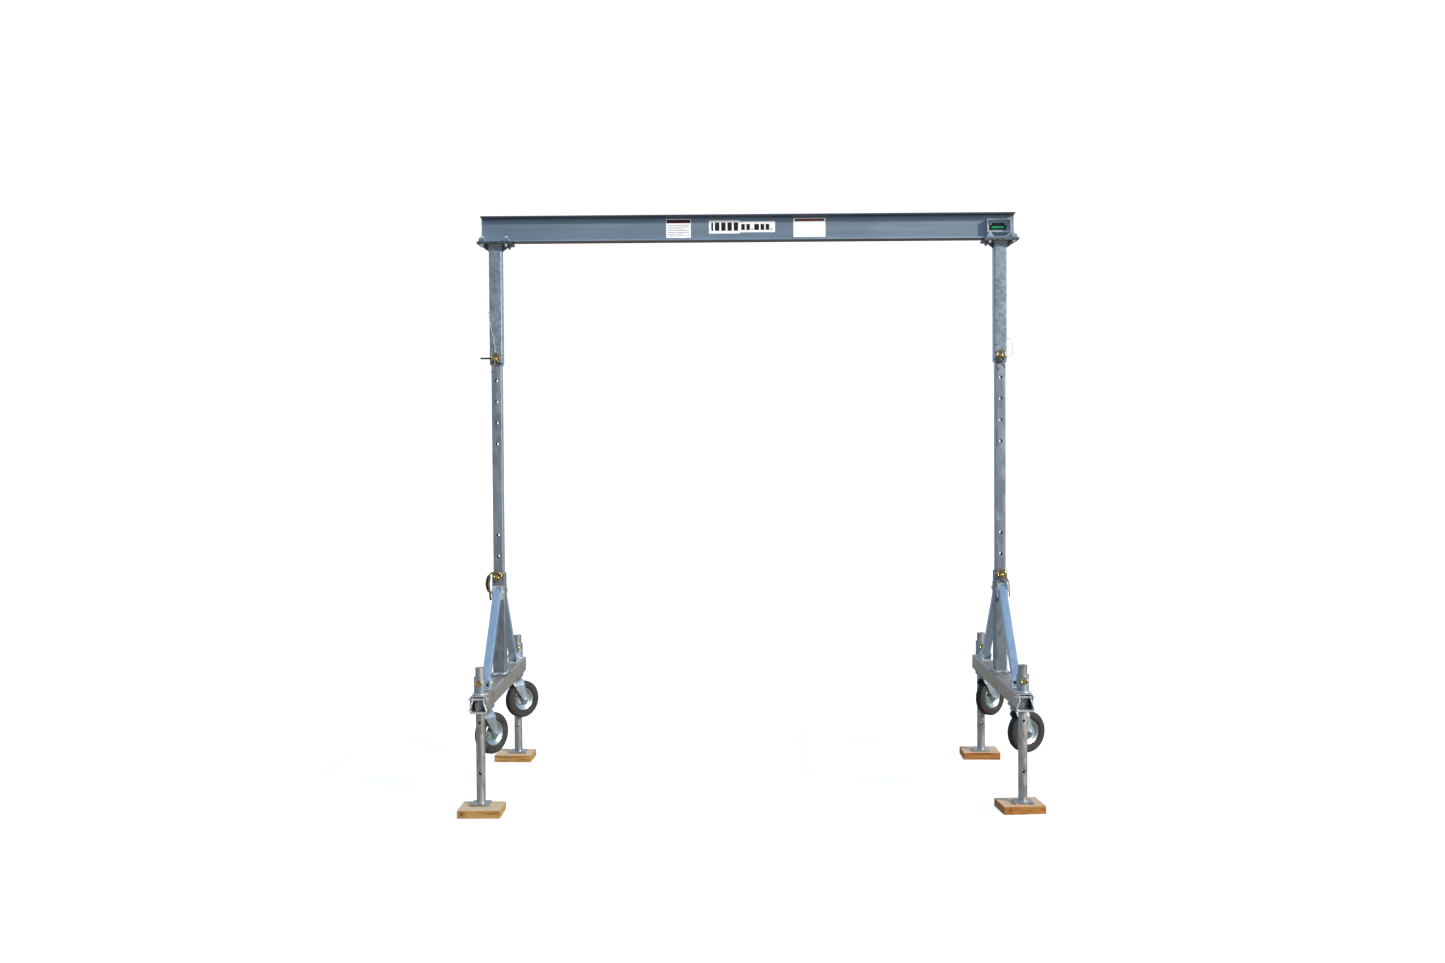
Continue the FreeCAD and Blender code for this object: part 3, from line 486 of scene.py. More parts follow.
def add_plate(mesh, low, high, corner, ink):
    """A thin upright plate between two corners, with its four corners rounded, in one ink."""
    made = bmesh.ops.create_cube(mesh, size=1)["verts"]
    size = [b - a for a, b in zip(low, high)]
    centre = [(a + b) / 2 for a, b in zip(low, high)]
    bmesh.ops.scale(mesh, vec=size, verts=made)
    bmesh.ops.translate(mesh, vec=centre, verts=made)
    for face in {face for vertex in made for face in vertex.link_faces}:
        face.material_index = list(inks).index(ink)
    edges = {edge for vertex in made for edge in vertex.link_edges}
    across = [edge for edge in edges if abs(edge.verts[0].co.y - edge.verts[1].co.y) > size[1] / 2]
    if corner:
        bmesh.ops.bevel(mesh, geom=across, offset=corner, offset_type="OFFSET", affect="EDGES", segments=4,
                        profile=0.5, material=-1)


def sticker(name, node, plates):
    """One label: its film, and the inks that lie on it, as plates given by place, size and ink."""
    low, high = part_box(node)
    mesh = bmesh.new()
    for (left, bottom), (right, top), corner, ink in plates:
        front = low.y - (0 if ink == "white" else INK_PROUD)
        add_plate(mesh, (left, front, bottom), (right, high.y, top), corner, ink)
    thing = object_from(mesh, name)
    for material in inks.values():
        thing.data.materials.append(material)
    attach(thing, body_of_node(node))
    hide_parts(node)


low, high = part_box("warning_label")
HEADING = 0.02
EDGE = 0.002
MARGIN = 0.008
ROW_COUNT = 7
ROW_PITCH = 0.0088
ROW_HEIGHT = 0.0032
LAST_ROW_MARGIN = 0.034
rows = [((low.x, low.z), (high.x, high.z), SHEET_CORNER, "white"),
        ((low.x + EDGE, high.z - HEADING), (high.x - EDGE, high.z - EDGE), INK_CORNER, "dark_red")]
for number in range(ROW_COUNT):
    top = high.z - HEADING - MARGIN - number * ROW_PITCH
    ends_paragraph = number % 3 == 2
    right = high.x - (LAST_ROW_MARGIN if ends_paragraph else MARGIN)
    rows.append(((low.x + MARGIN, top - ROW_HEIGHT), (right, top), 0, "grey"))
sticker("warning_film", "warning_label", rows)

low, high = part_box("notice_label")
BAND_INSET = 0.006
BAND_BOTTOM = 0.014
sticker("notice_film", "notice_label", [
    ((low.x, low.z), (high.x, high.z), SHEET_CORNER, "white"),
    ((low.x + BAND_INSET, high.z - BAND_BOTTOM), (high.x - BAND_INSET, high.z - EDGE), INK_CORNER, "orange"),
])

low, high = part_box("capacity_label")
JOIN_X = -0.0377
JOIN_GAP = 0.0004
SMALL_STICKER_STEP = 0.005
marks = [((low.x, low.z), (JOIN_X, high.z), INK_CORNER, "white"),
         ((JOIN_X + JOIN_GAP, low.z + SMALL_STICKER_STEP), (high.x, high.z - SMALL_STICKER_STEP), INK_CORNER,
          "white")]
BIG_MARKS = {
    "widths": (0.009, 0.022, 0.022, 0.022, 0.022), "start": low.x + 0.012, "gap": 0.009,
    "bottom": low.z + 0.013, "top": high.z - 0.01, "corner": 0.003,
}
DOT_WIDTH = 0.006
DOT_HEIGHT = 0.008
SMALL_MARKS = {
    "widths": (0.018, 0.018, DOT_WIDTH, 0.024, 0.018, 0.018, DOT_WIDTH),
    "start": JOIN_X + MARGIN, "gap": 0.0075,
    "bottom": low.z + 0.016, "top": low.z + 0.046, "corner": 0.002,
}
for group in (BIG_MARKS, SMALL_MARKS):
    place = group["start"]
    for width in group["widths"]:
        top = group["bottom"] + DOT_HEIGHT if width == DOT_WIDTH else group["top"]
        marks.append(((place, group["bottom"]), (place + width, top), group["corner"], "black"))
        place += width + group["gap"]
sticker("capacity_film", "capacity_label", marks)


# The name-plate tray: bent aluminium sheet that shields a black plate with a green band, held by two small
# round-headed rivets. It sits on the web above the right column.
tray_skin = metal("tray_sheet", (0.44, 0.5, 0.56), (0.62, 0.68, 0.74), (0.34, 0.5), crystals=30,
                  stretch=(1, 1, 3))
worn_copy("name_plate_frame", 0.0008, tray_skin)
low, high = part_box("name_plate")
mesh = bmesh.new()
add_plate(mesh, low, high, INK_CORNER, "gloss_black")
middle = (low.z + high.z) / 2
band_low = (low.x + 0.01, low.y - INK_PROUD, middle - 0.009)
band_high = (high.x - 0.008, high.y, middle + 0.001)
add_plate(mesh, band_low, band_high, 0.001, "green")
RIVET_RADIUS = 0.0026
RIVET_INSET = 0.006
for x in (low.x + RIVET_INSET, high.x - RIVET_INSET):
    rivet = bmesh.ops.create_uvsphere(mesh, u_segments=16, v_segments=8, radius=RIVET_RADIUS)["verts"]
    bmesh.ops.scale(mesh, vec=(1, 0.5, 1), verts=rivet)
    bmesh.ops.translate(mesh, vec=(x, low.y, high.z - RIVET_INSET), verts=rivet)
plate = object_from(mesh, "name_plate_riveted")
for material in inks.values():
    plate.data.materials.append(material)
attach(plate, "beam_frame")
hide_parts("name_plate")


# The saddles, upper legs and clamps: welded from square tube and plate, then dipped in zinc, which leaves
# clouds and small crystals. The weld beads keep the ripple of each pass. The bolts are bright zinc plated,
# and their zinc is drawn paler and less metallic as a painted highlight.
# The blue cast of these zinc tones is a painted sky reflection; the grey, the clouds and the crystals are the
# zinc's own.
galvanised = metal("galvanised_skin", (0.27, 0.33, 0.38), (0.48, 0.55, 0.61), (0.42, 0.58), crystal_share=0.3)
# The saddles get a darker copy of the zinc: painted shade, for the shade they lie in under the beam.
shaded_zinc = metal("saddle_painted_shade", (0.09, 0.1, 0.12), (0.24, 0.27, 0.3), (0.42, 0.6))
# Pale, less metallic zinc for the bolts and bails: partly their bright plate, partly a painted highlight that
# keeps them bright in shade.
bolt_zinc = metal("bolt_zinc", (0.6, 0.62, 0.63), (0.9, 0.91, 0.92), (0.28, 0.42), metallic=0.55, clouds=30,
                  crystals=300)
weld_zinc = metal("weld_zinc", (0.5, 0.51, 0.52), (0.88, 0.88, 0.87), (0.3, 0.46), metallic=0.6, clouds=60,
                  crystals=300)
RIPPLE = 0.0035
BEAD_MEAN = 0.86
PASS_RIPPLE = 0.14
HAND_WAVER = 0.08


def weld(name, body, loops, radius):
    """Weld beads along closed loops of corners; each bead swells and shrinks a little along its way."""
    mesh = bmesh.new()
    for loop in loops:
        corners = [Vector(corner) for corner in loop]
        points = even_steps(corners + corners[:1], RIPPLE)[:-1]
        swell = [BEAD_MEAN + PASS_RIPPLE * math.cos(number * math.pi) + HAND_WAVER * math.sin(number * 1.7)
                 for number in range(len(points))]
        add_curve(mesh, curve_through(points, radius=radius, closed=True, radii=swell))
    bead = shade(object_from(mesh, name), 80)
    bead.data.materials.append(weld_zinc)
    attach(bead, body)


def square_loop(x, y, z, half, corner=0.006):
    """Corners of a square with cut corners round an upright tube."""
    inner = half - corner
    turns = [(inner, half), (-inner, half), (-half, inner), (-half, -inner), (-inner, -half), (inner, -half),
             (half, -inner), (half, inner)]
    return [(x + a, y + b, z) for a, b in turns]


def upright_loop(x, y, z, half, corner=0.007):
    """The same square with cut corners, standing round the open end of a tube along Y."""
    return [(x + a, y, z + b) for a, b, _ in square_loop(0, 0, 0, half, corner)]


def round_loop(x, y, z, radius, count=48):
    """Points of a circle round an upright tube."""
    turn = 2 * math.pi / count
    return [(x + radius * math.cos(n * turn), y + radius * math.sin(n * turn), z) for n in range(count)]


LEG_HALF = 0.03175
WELD_GAP = 0.0005
SADDLE_BEAD = 0.0035
SADDLE_WELD_DROP = 0.0015
for side_name, side in SIDES.items():
    worn_copy(f"{side_name}_saddle", 0.0015, shaded_zinc)
    worn_copy(f"{side_name}_upper_leg", 0.0008, galvanised)
    leg_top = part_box(f"{side_name}_upper_leg")[1].z
    weld(f"{side_name}_saddle_weld", "beam_frame",
         [square_loop(side * COLUMN_X, 0, leg_top - SADDLE_WELD_DROP, LEG_HALF + WELD_GAP)], SADDLE_BEAD)
worn_copy("saddle_clamps", 0.001, galvanised)
worn_copy("saddle_bolts", 0.0008, bolt_zinc)


# The inner columns: drawn square tube with a row of pin holes, sliding in the upper leg and the stub column.
# Their zinc is smoother, scuffed in long upright streaks where the outer tubes have slid.
slid_skin = metal("slid_skin", (0.28, 0.32, 0.36), (0.48, 0.53, 0.57), (0.4, 0.56), clouds=12, crystals=60,
                  crystal_share=0.3, stretch=(1, 1, 0.25))
for side_name in SIDES:
    worn_copy(f"{side_name}_column", 0.0006, slid_skin)


# The bases: a square tube on each side with its jack sleeves let in and welded, caster plates bolted below,
# the stub column bolted on top, and two square braces held by bolts in pressed clevises.
# The base tubes' warm brown cast is a painted reflection of the warm ground; the clouds and crystals are the
# zinc's own.
ground_tinted_skin = metal("base_skin", (0.34, 0.29, 0.24), (0.58, 0.51, 0.44), (0.42, 0.6), clouds=6, crystals=65,
                  crystal_share=0.3)
stub_skin = metal("stub_skin", (0.17, 0.2, 0.23), (0.34, 0.38, 0.42), (0.4, 0.58), clouds=5,
                  crystal_share=0.25, stretch=(1, 1, 0.3))
# The braces' strong blue is a painted sky reflection on their zinc.
brace_skin = metal("brace_skin", (0.35, 0.48, 0.61), (0.53, 0.67, 0.81), (0.36, 0.5), clouds=9,
                   crystals=120, crystal_share=0.2, stretch=(1, 0.5, 0.5))
bright_plate = metal("bright_plate", (0.55, 0.58, 0.6), (0.88, 0.9, 0.92), (0.26, 0.42), metallic=0.6,
                     clouds=20, crystals=160)
BEAD = 0.0052
TOP_WELD_RADIUS = 0.03
UNDER_WELD_RADIUS = 0.029
BURR = 0.0022
BURR_INSET = 0.0015
PLATE_THICK = 0.01
JACK_Y = 0.555
ENDS = {"near": -1, "far": 1}
for side_name, side in SIDES.items():
    body = f"{side_name}_base"
    x = side * COLUMN_X
    worn_copy(f"{side_name}_base_tube", 0.0006, ground_tinted_skin)
    worn_copy(f"{side_name}_stub_column", 0.001, stub_skin)
    worn_copy(f"{side_name}_brace_brackets", 0.001, bright_plate)
    worn_copy(f"{side_name}_base_bolts", 0.0008, bolt_zinc)
    worn_copy(f"{side_name}_jack_sleeves", 0.0008, galvanised)
    worn_copy(f"{side_name}_caster_plates", 0.001, galvanised)
    base_low, base_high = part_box(f"{side_name}_base_tube")
    beads = [square_loop(x, 0, base_high.z + PLATE_THICK + WELD_GAP, LEG_HALF + WELD_GAP)]
    for end_name, end in ENDS.items():
        worn_copy(f"{side_name}_{end_name}_brace", 0.0006, brace_skin)
        beads.append(round_loop(x, end * JACK_Y, base_high.z + 0.002, TOP_WELD_RADIUS))
        beads.append(round_loop(x, end * JACK_Y, base_low.z - 0.001, UNDER_WELD_RADIUS))
    weld(f"{side_name}_base_welds", body, beads, BEAD)
    half = (base_high.z - base_low.z) / 2
    weld(f"{side_name}_base_end_burr", body,
         [upright_loop(x, base_low.y + WELD_GAP, base_low.z + half, half - BURR_INSET)], BURR)


# The jack legs: round steel tube welded on a square foot, with three holes for its pin, and dipped in zinc.
# The tube is dull from handling.
leg_skin = metal("leg_skin", (0.29, 0.28, 0.27), (0.62, 0.6, 0.57), (0.38, 0.54), clouds=9, crystals=60,
                 crystal_share=0.3, stretch=(1, 1, 0.4))
FOOT_WELD_RADIUS = 0.0212
FOOT_BEAD = 0.0015
for side_name, side in SIDES.items():
    for end_name, end in ENDS.items():
        worn_copy(f"{end_name}_{side_name}_jack_leg", 0.0012, leg_skin)
        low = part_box(f"{end_name}_{side_name}_jack_leg")[0]
        weld(f"{end_name}_{side_name}_foot_weld", f"{end_name}_{side_name}_jack",
             [round_loop(side * COLUMN_X, end * JACK_Y, low.z + PLATE_THICK + WELD_GAP, FOOT_WELD_RADIUS)],
             FOOT_BEAD)


# The casters: a bent strap fork with sloping shoulders on a pressed crown, and a bolt for an axle.
# All of it is bright zinc plated steel with a faint blue cast.
CASTER_Y = 0.449
WHEEL_TRAIL = 0.047
WHEEL_Z = 0.342
CROWN_Z = 0.4555
CASTER_TURNS = {"near_left": 57, "far_left": 45, "near_right": 27, "far_right": 40}
SPUN_DOUBLES = 0.0002
fork_zinc = metal("fork_zinc", (0.4, 0.46, 0.5), (0.6, 0.66, 0.7), (0.34, 0.5), metallic=0.9, clouds=22,
                  crystals=200, crystal_share=0.25, relief=0.06)


def turned_solid(mesh, profile, steps, axis, centre):
    """Spins a profile of points all the way round an axis."""
    spots = [mesh.verts.new(point) for point in profile]
    edges = [mesh.edges.new(pair) for pair in zip(spots, spots[1:])]
    bmesh.ops.spin(mesh, geom=spots + edges, cent=centre, axis=axis, dvec=(0, 0, 0), angle=2 * math.pi,
                   steps=steps, use_merge=True, use_duplicate=False)


def round_axle(mesh, profile, steps):
    """Spins a profile of radii and places along the axle round the axle."""
    points = [(WHEEL_TRAIL, y, WHEEL_Z + radius) for radius, y in profile]
    turned_solid(mesh, points, steps, axis=(0, 1, 0), centre=(WHEEL_TRAIL, 0, WHEEL_Z))


def round_swivel(mesh, profile, steps):
    """Spins a profile of radii and heights from the crown round the swivel."""
    points = [(radius, 0, CROWN_Z + rise) for radius, rise in profile]
    turned_solid(mesh, points, steps, axis=(0, 0, 1), centre=(0, 0, 0))


def hexagon(mesh, centre, reach, thick):
    """A bolt head or nut along Y, with its corners taken off."""
    made = bmesh.ops.create_cone(mesh, cap_ends=True, segments=6, radius1=reach, radius2=reach,
                                 depth=thick)["verts"]
    bmesh.ops.rotate(mesh, cent=(0, 0, 0), matrix=Matrix.Rotation(math.pi / 2, 3, "X"), verts=made)
    bmesh.ops.translate(mesh, vec=centre, verts=made)
    edges = {edge for vertex in made for edge in vertex.link_edges}
    bmesh.ops.bevel(mesh, geom=list(edges), offset=thick * 0.12, offset_type="OFFSET", affect="EDGES",
                    segments=2, profile=0.5, material=-1)


STRAP_THICK = 0.005
SHOULDER_Z = 0.424
EYE_DROP = 0.0172
STRAP_PATH = [(0.0, 0.449), (0.014, 0.449), (0.0295, SHOULDER_Z), (0.0295, 0.325)]
STRAP_MIDDLE = 0.008
TOP_HALF = 0.035
SHOULDER_HALF = 0.034
EYE_HALF = 0.015


def strap_place(along):
    """Where the strap's middle runs: across and up, for a distance from the crown's middle."""
    left = along
    for (y0, z0), (y1, z1) in zip(STRAP_PATH, STRAP_PATH[1:]):
        run = math.hypot(y1 - y0, z1 - z0)
        if left <= run or (y1, z1) == STRAP_PATH[-1]:
            share = left / run
            return y0 + (y1 - y0) * share, z0 + (z1 - z0) * share
        left -= run


def strap_width(z):
    """Half the strap's width and its middle along the trail, at a height; the ends are rounded off."""
    if z > SHOULDER_Z:
        return TOP_HALF, STRAP_MIDDLE
    share = (SHOULDER_Z - z) / (SHOULDER_Z - WHEEL_Z)
    if share < 1:
        half = SHOULDER_HALF + (EYE_HALF - SHOULDER_HALF) * share
        return half, STRAP_MIDDLE + (WHEEL_TRAIL - STRAP_MIDDLE) * share
    below = min(1, (WHEEL_Z - z) / EYE_DROP)
    return EYE_HALF * math.sqrt(max(0.02, 1 - below ** 2)), WHEEL_TRAIL


def make_fork_mesh():
    """The strap, drawn flat as a grid and then bent over the crown and down both sides."""
    strap_length = sum(math.hypot(b[0] - a[0], b[1] - a[1]) for a, b in zip(STRAP_PATH, STRAP_PATH[1:]))
    mesh = bmesh.new()
    bmesh.ops.create_grid(mesh, x_segments=8, y_segments=96, size=1)
    for vertex in mesh.verts:
        way = -1 if vertex.co.y < 0 else 1
        y, z = strap_place(abs(vertex.co.y) * strap_length)
        half, middle = strap_width(z)
        vertex.co = Vector((middle + vertex.co.x * half, way * y, z))
    return mesh


NUT_MIDDLE = 0.0375
WASHER_OUTER = 0.0342
WASHER_INNER = 0.0322
AXLE_HALF = 0.0435


def make_crown_mesh():
    """The pressed crown, the kingpin, and the axle bolt with its washers, head and nut."""
    mesh = bmesh.new()
    round_swivel(mesh, [(0.0001, -0.003), (0.022, -0.003), (0.03, -0.0005), (0.037, -0.001),
                        (0.0388, -0.003), (0.0385, -0.0055), (0.034, -0.0085), (0.0001, -0.0085)], 48)
    kingpin = [(0.0001, 0.009), (0.008, 0.009), (0.01, 0.0075), (0.01, -0.004), (0.0001, -0.004)]
    round_swivel(mesh, kingpin, 24)
    for way in (-1, 1):
        hexagon(mesh, (WHEEL_TRAIL, way * NUT_MIDDLE, WHEEL_Z), 0.0105, 0.007)
        outer = way * WASHER_OUTER
        inner = way * WASHER_INNER
        round_axle(mesh, [(0.0065, outer), (0.0135, outer), (0.0138, inner), (0.0065, inner)], 32)
    rise = [(0.0001, AXLE_HALF), (0.005, AXLE_HALF), (0.006, AXLE_HALF - 0.001)]
    round_axle(mesh, [(radius, -y) for radius, y in rise] + rise[::-1], 24)
    return mesh


def put_caster(mesh, corner):
    """Cleans a caster part drawn at the origin, then turns it and sets it below its plate."""
    bmesh.ops.remove_doubles(mesh, verts=mesh.verts, dist=SPUN_DOUBLES)
    bmesh.ops.recalc_face_normals(mesh, faces=mesh.faces)
    end_name, side_name = corner.split("_")
    place = Matrix.Translation((SIDES[side_name] * COLUMN_X, ENDS[end_name] * CASTER_Y, 0))
    turn = Matrix.Rotation(math.radians(CASTER_TURNS[corner]), 4, "Z")
    bmesh.ops.transform(mesh, matrix=place @ turn, verts=mesh.verts)
    return mesh


for corner in CASTER_TURNS:
    strap = shade(object_from(put_caster(make_fork_mesh(), corner), f"{corner}_fork_strap"), 50)
    solid = strap.modifiers.new("plate", "SOLIDIFY")
    solid.thickness = STRAP_THICK
    solid.offset = 0
    soften(strap, 0.0008, 50)
    crown = shade(object_from(put_caster(make_crown_mesh(), corner), f"{corner}_fork_crown"), 30)
    for piece in (strap, crown):
        piece.data.materials.append(fork_zinc)
        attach(piece, f"{corner}_caster")
    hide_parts(f"{corner}_fork")


# The wheels: a two-part pressed rim with a rolled lip, a hub and four bolts, and a moulded tyre with ribs
# round its tread and two fine lines on each wall. The rubber is grey with dust.
rim_zinc = metal("rim_zinc", (0.3, 0.38, 0.4), (0.52, 0.6, 0.62), (0.34, 0.48), metallic=0.9, clouds=26,
                 crystals=220, crystal_share=0.2, relief=0.05)
RIM_HALF = [
    (0.0063, 0.025), (0.014, 0.025), (0.0158, 0.0235), (0.016, 0.0135), (0.02, 0.0115), (0.024, 0.0105),
    (0.035, 0.0085), (0.04, 0.0088), (0.0435, 0.011), (0.047, 0.0142), (0.0515, 0.0155), (0.0545, 0.0172),
    (0.057, 0.0182), (0.0586, 0.0172), (0.0582, 0.0156), (0.056, 0.0145), (0.054, 0.0125),
]
TREAD = [(0.0952, 0.0178), (0.0966, 0.0155), (0.0972, 0.0136), (0.0944, 0.0128), (0.0944, 0.0108),
         (0.0975, 0.01), (0.0977, 0.0062), (0.0947, 0.0056), (0.0947, 0.0036), (0.0978, 0.003)]
TYRE_HALF = [
    (0.0542, 0.0), (0.0542, 0.0118), (0.0562, 0.014), (0.0592, 0.0168), (0.0605, 0.019), (0.064, 0.0215),
    (0.068, 0.0234), (0.0695, 0.0246), (0.071, 0.0242), (0.077, 0.0247), (0.083, 0.024), (0.0843, 0.0244),
    (0.0855, 0.0233), (0.089, 0.0218), (0.0925, 0.0199), (0.0942, 0.0192),
] + TREAD


def tyre_rubber():
    """Black rubber, greyed by dust that lies in clouds."""
    material = bpy.data.materials.new("tyre_rubber")
    new, join = node_tree(material)
    where = new("ShaderNodeTexCoord")
    dust = new("ShaderNodeTexNoise", Scale=24, Detail=8, Roughness=0.7)
    fine = new("ShaderNodeTexNoise", Scale=600, Detail=3)
    for texture in (dust, fine):
        join(where.outputs["Object"], texture.inputs["Vector"])
    tone = ramp(new, join, dust.outputs["Fac"],
                [(0.32, (0.022, 0.02, 0.018)), (0.52, (0.04, 0.036, 0.032)), (0.75, (0.085, 0.076, 0.066))])
    gloss = rescale(new, join, dust.outputs["Fac"], 0.3, 0.7, 0.62, 0.85)
    coat(new, join, tone, gloss, bumps(new, join, fine.outputs["Fac"], 0.25, 0.0005))
    return material


rubber = tyre_rubber()


def wheel_part(half, steps, closed):
    """Spins a half profile, mirrored to the other side, round the axle."""
    mesh = bmesh.new()
    mirrored = [(radius, -y) for radius, y in half]
    outline = mirrored + half[::-1] + mirrored[:1] if closed else half + mirrored[::-1]
    round_axle(mesh, outline, steps)
    return mesh


RIM_BOLTS = 4
BOLT_CIRCLE = 0.029
BOLT_MIDDLE = 0.0118


def rim_mesh():
    """The rim with a small bolt head on each side at every bolt."""
    mesh = wheel_part(RIM_HALF, 72, True)
    for number in range(RIM_BOLTS):
        angle = math.pi / 4 + number * 2 * math.pi / RIM_BOLTS
        x = WHEEL_TRAIL + BOLT_CIRCLE * math.cos(angle)
        z = WHEEL_Z + BOLT_CIRCLE * math.sin(angle)
        for way in (-1, 1):
            hexagon(mesh, (x, way * BOLT_MIDDLE, z), 0.0052, 0.0045)
    return mesh


for corner in CASTER_TURNS:
    rim = shade(object_from(put_caster(rim_mesh(), corner), f"{corner}_pressed_rim"), 32)
    rim.data.materials.append(rim_zinc)
    tyre_mesh = put_caster(wheel_part(TYRE_HALF, 96, False), corner)
    tyre = shade(object_from(tyre_mesh, f"{corner}_ribbed_tyre"), 38)
    tyre.data.materials.append(rubber)
    for piece, node, slot in ((rim, "rim", "bright_zinc"), (tyre, "tyre", "tyre_rubber")):
        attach(piece, f"{corner}_wheel")
        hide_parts(f"{corner}_{node}")


# The pins and bails: turned pins with a collar and a ring to pull them by, in yellow passivated zinc with a
# brown and green bloom; and the bent rod loops at the near ends of the base tubes, plain zinc.
def passivated():
    """Yellow zinc whose film runs from straw to brown and olive."""
    material = bpy.data.materials.new("yellow_passivated")
    new, join = node_tree(material)
    bloom = new("ShaderNodeTexNoise", Scale=70, Detail=5, Roughness=0.6)
    join(new("ShaderNodeTexCoord").outputs["Object"], bloom.inputs["Vector"])
    tone = ramp(new, join, bloom.outputs["Fac"], [
        (0.28, (0.2, 0.19, 0.06)), (0.42, (0.42, 0.24, 0.07)), (0.55, (0.78, 0.52, 0.18)),
        (0.75, (0.92, 0.74, 0.4)),
    ])
    gloss = rescale(new, join, bloom.outputs["Fac"], 0.3, 0.7, 0.3, 0.16)
    coat(new, join, tone, gloss, Metallic=0.95)
    return material


def add_fitting(mesh, name, body, material, angle):
    """A small piece that rides with a pin."""
    piece = shade(object_from(mesh, name), angle)
    piece.data.materials.append(material)
    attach(piece, body)


def bent_wire(points, radius):
    """A bmesh of a clip or handle of wire, given by the points it is bent round."""
    mesh = bmesh.new()
    add_curve(mesh, curve_through(even_steps(smooth_line(points), WIRE_STEP), radius=radius))
    return mesh


pin_gold = passivated()
dark_wire = metal("dark_wire", (0.02, 0.025, 0.03), (0.08, 0.085, 0.09), (0.35, 0.5), metallic=0.6)
bright_wire = metal("bright_wire", (0.6, 0.62, 0.62), (0.85, 0.86, 0.86), (0.2, 0.32), metallic=0.95)
WIRE_STEP = 0.004
BALL_RADIUS = 0.0125
BALL_FRONT = Vector((0, -0.0505, 0))
PIN_HEIGHTS = {"upper": 2.126, "lower": 1.042}
CLIPS = {
    "left_upper_lock": [
        ("left_pull_wire", 0.0045, dark_wire, [(-0.012, -0.041, 0.004), (-0.04, -0.041, 0.004),
                                               (-0.0755, -0.041, 0.004)]),
        ("left_upper_clip", 0.0036, bright_wire, [(0, -0.05, -0.014), (-0.008, -0.052, -0.034),
                                                  (-0.016, -0.046, -0.05), (-0.022, -0.046, -0.066)]),
        ("left_upper_wire", 0.003, dark_wire, [(-0.022, -0.044, -0.017), (0.006, -0.047, -0.021),
                                                (0.034, -0.042, -0.02)]),
    ],
    "right_upper_lock": [
        ("right_upper_clip", 0.0034, dark_wire, [(-0.034, -0.045, -0.014), (-0.012, -0.048, -0.028),
                                                 (0.01, -0.046, -0.044), (0.016, -0.045, -0.058)]),
        ("right_upper_wire", 0.003, dark_wire, [(-0.024, -0.044, -0.042), (-0.004, -0.047, -0.03),
                                                 (0.014, -0.046, -0.014)]),
    ],
    "left_lower_lock": [
        ("left_lower_arch", 0.0044, pin_gold, [(0.018, -0.05, 0.002), (0.016, -0.054, 0.022),
                                               (-0.008, -0.056, 0.03), (-0.034, -0.054, 0.024),
                                               (-0.05, -0.05, 0.002)]),
        # The near-black strap is the handle's shaded part, painted shade; the gold tail in front of it is the
        # handle's lit edge, a painted highlight.
        ("left_lower_strap", 0.0085, dark_wire, [(-0.042, -0.05, 0.01), (-0.054, -0.048, -0.014),
                                                 (-0.054, -0.046, -0.05), (-0.043, -0.045, -0.07)]),
        ("left_lower_tail", 0.0055, pin_gold, [(-0.038, -0.054, 0.004), (-0.045, -0.054, -0.03),
                                               (-0.04, -0.05, -0.07), (-0.037, -0.046, -0.112)]),
    ],
    "right_lower_lock": [
        ("right_lower_tail", 0.0034, pin_gold, [(0.02, -0.05, -0.008), (0.034, -0.047, -0.03),
                                                (0.037, -0.044, -0.06), (0.039, -0.042, -0.11)]),
    ],
}
for body, clips in CLIPS.items():
    side_name, level, _ = body.split("_")
    pin_place = Vector((SIDES[side_name] * COLUMN_X, 0, PIN_HEIGHTS[level]))
    mesh = bmesh.new()
    bmesh.ops.create_uvsphere(mesh, u_segments=32, v_segments=16, radius=BALL_RADIUS)
    bmesh.ops.translate(mesh, vec=pin_place + BALL_FRONT, verts=mesh.verts)
    add_fitting(mesh, f"{side_name}_{level}_pin_ball", body, pin_gold, 35)
    for name, radius, material, points in clips:
        mesh = bent_wire([Vector(point) + pin_place for point in points], radius)
        add_fitting(mesh, name, body, material, 60)
for side_name in SIDES:
    column_pins = [f"{side_name}_{level}_pin" for level in PIN_HEIGHTS]
    jack_pins = [f"{end_name}_{side_name}_jack_pin" for end_name in ENDS]
    for node in column_pins + jack_pins:
        worn_copy(node, 0.0009, pin_gold)
    worn_copy(f"{side_name}_bail", 0.0006, bolt_zinc)


# The timber pads: short lengths of sawn treated pine under the jack feet, rough on the faces and paler on
# top, with the year rings bending round a knot.
KNOT_REACH = 0.035
HEART_REACH = 0.013
KNOT_PLACE = Vector((0.046, -0.002, 0.021))


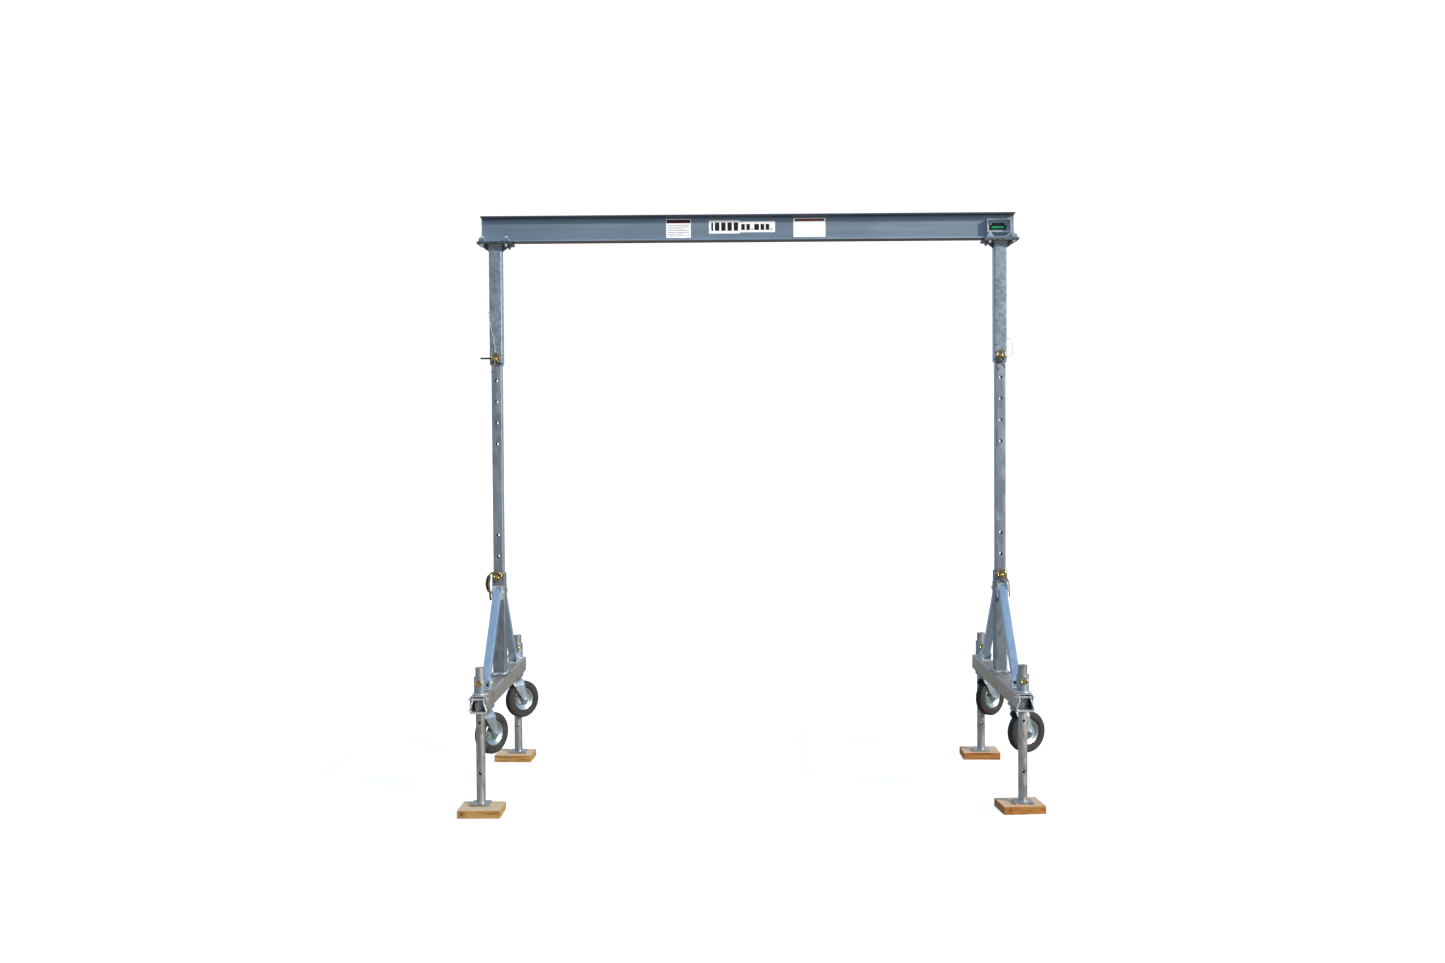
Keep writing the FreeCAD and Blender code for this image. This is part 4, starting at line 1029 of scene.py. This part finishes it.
def sawn_pine(name, pale, dark, knot):
    """Pine with its grain along X, one knot, and a paler top."""
    material = bpy.data.materials.new(name)
    new, join = node_tree(material)
    where = new("ShaderNodeTexCoord")
    away = new("ShaderNodeVectorMath", operation="DISTANCE")
    away.inputs[1].default_value = knot
    join(where.outputs["Object"], away.inputs[0])
    near_knot = rescale(new, join, away.outputs["Value"], 0.0, KNOT_REACH, 1.0, 0.0)
    place = new("ShaderNodeMapping", Scale=(1.2, 22, 26))
    join(where.outputs["Object"], place.inputs["Vector"])
    rings = new("ShaderNodeTexNoise", Scale=2.4, Detail=8, Roughness=0.6, Distortion=0.9)
    join(place.outputs[0], rings.inputs["Vector"])
    fibre_place = new("ShaderNodeMapping", Scale=(14, 160, 160))
    join(where.outputs["Object"], fibre_place.inputs["Vector"])
    fibres = new("ShaderNodeTexNoise", Scale=2, Detail=4)
    join(fibre_place.outputs[0], fibres.inputs["Vector"])
    whorl = new("ShaderNodeTexWave", wave_type="RINGS", rings_direction="SPHERICAL", Scale=62, Distortion=2.5)
    knot_place = new("ShaderNodeMapping", Location=[-value for value in knot])
    join(where.outputs["Object"], knot_place.inputs["Vector"])
    join(knot_place.outputs[0], whorl.inputs["Vector"])
    pattern = mixed_value(new, join, near_knot, rings.outputs["Fac"], whorl.outputs["Fac"])
    grain = mixed_value(new, join, 0.3, pattern, fibres.outputs["Fac"])
    brown = [channel * 0.6 for channel in dark]
    tone = ramp(new, join, grain, [(0.3, brown), (0.42, dark), (0.52, pale), (0.75, pale)])
    heart = rescale(new, join, away.outputs["Value"], 0.0, HEART_REACH, 1.0, 0.0)
    knotted = mixed_colour(new, join, heart, tone, (0.1, 0.03, 0.01, 1))
    # Faces that look upward are mixed towards a pale warm tone.
    facing = new("ShaderNodeSeparateXYZ")
    join(where.outputs["Normal"], facing.inputs[0])
    upward = rescale(new, join, facing.outputs["Z"], 0.5, 0.95, 0, 0.5)
    paler_on_top = mixed_colour(new, join, upward, knotted, (1, 0.78, 0.54, 1))
    gloss = rescale(new, join, fibres.outputs["Fac"], 0, 1, 0.6, 0.9)
    coat(new, join, paler_on_top, gloss, bumps(new, join, grain, 0.5, 0.0009))
    return material


PINE = {
    "left": ((0.56, 0.33, 0.1), (0.34, 0.15, 0.03)),
    "right": ((0.56, 0.25, 0.055), (0.34, 0.1, 0.013)),
}
for side_name, (pale, dark) in PINE.items():
    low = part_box(f"{side_name}_timber_pads")[0]
    knot = low + KNOT_PLACE
    pine = sawn_pine(f"{side_name}_pine", pale, dark, knot)
    worn_copy(f"{side_name}_timber_pads", 0.0025, pine)
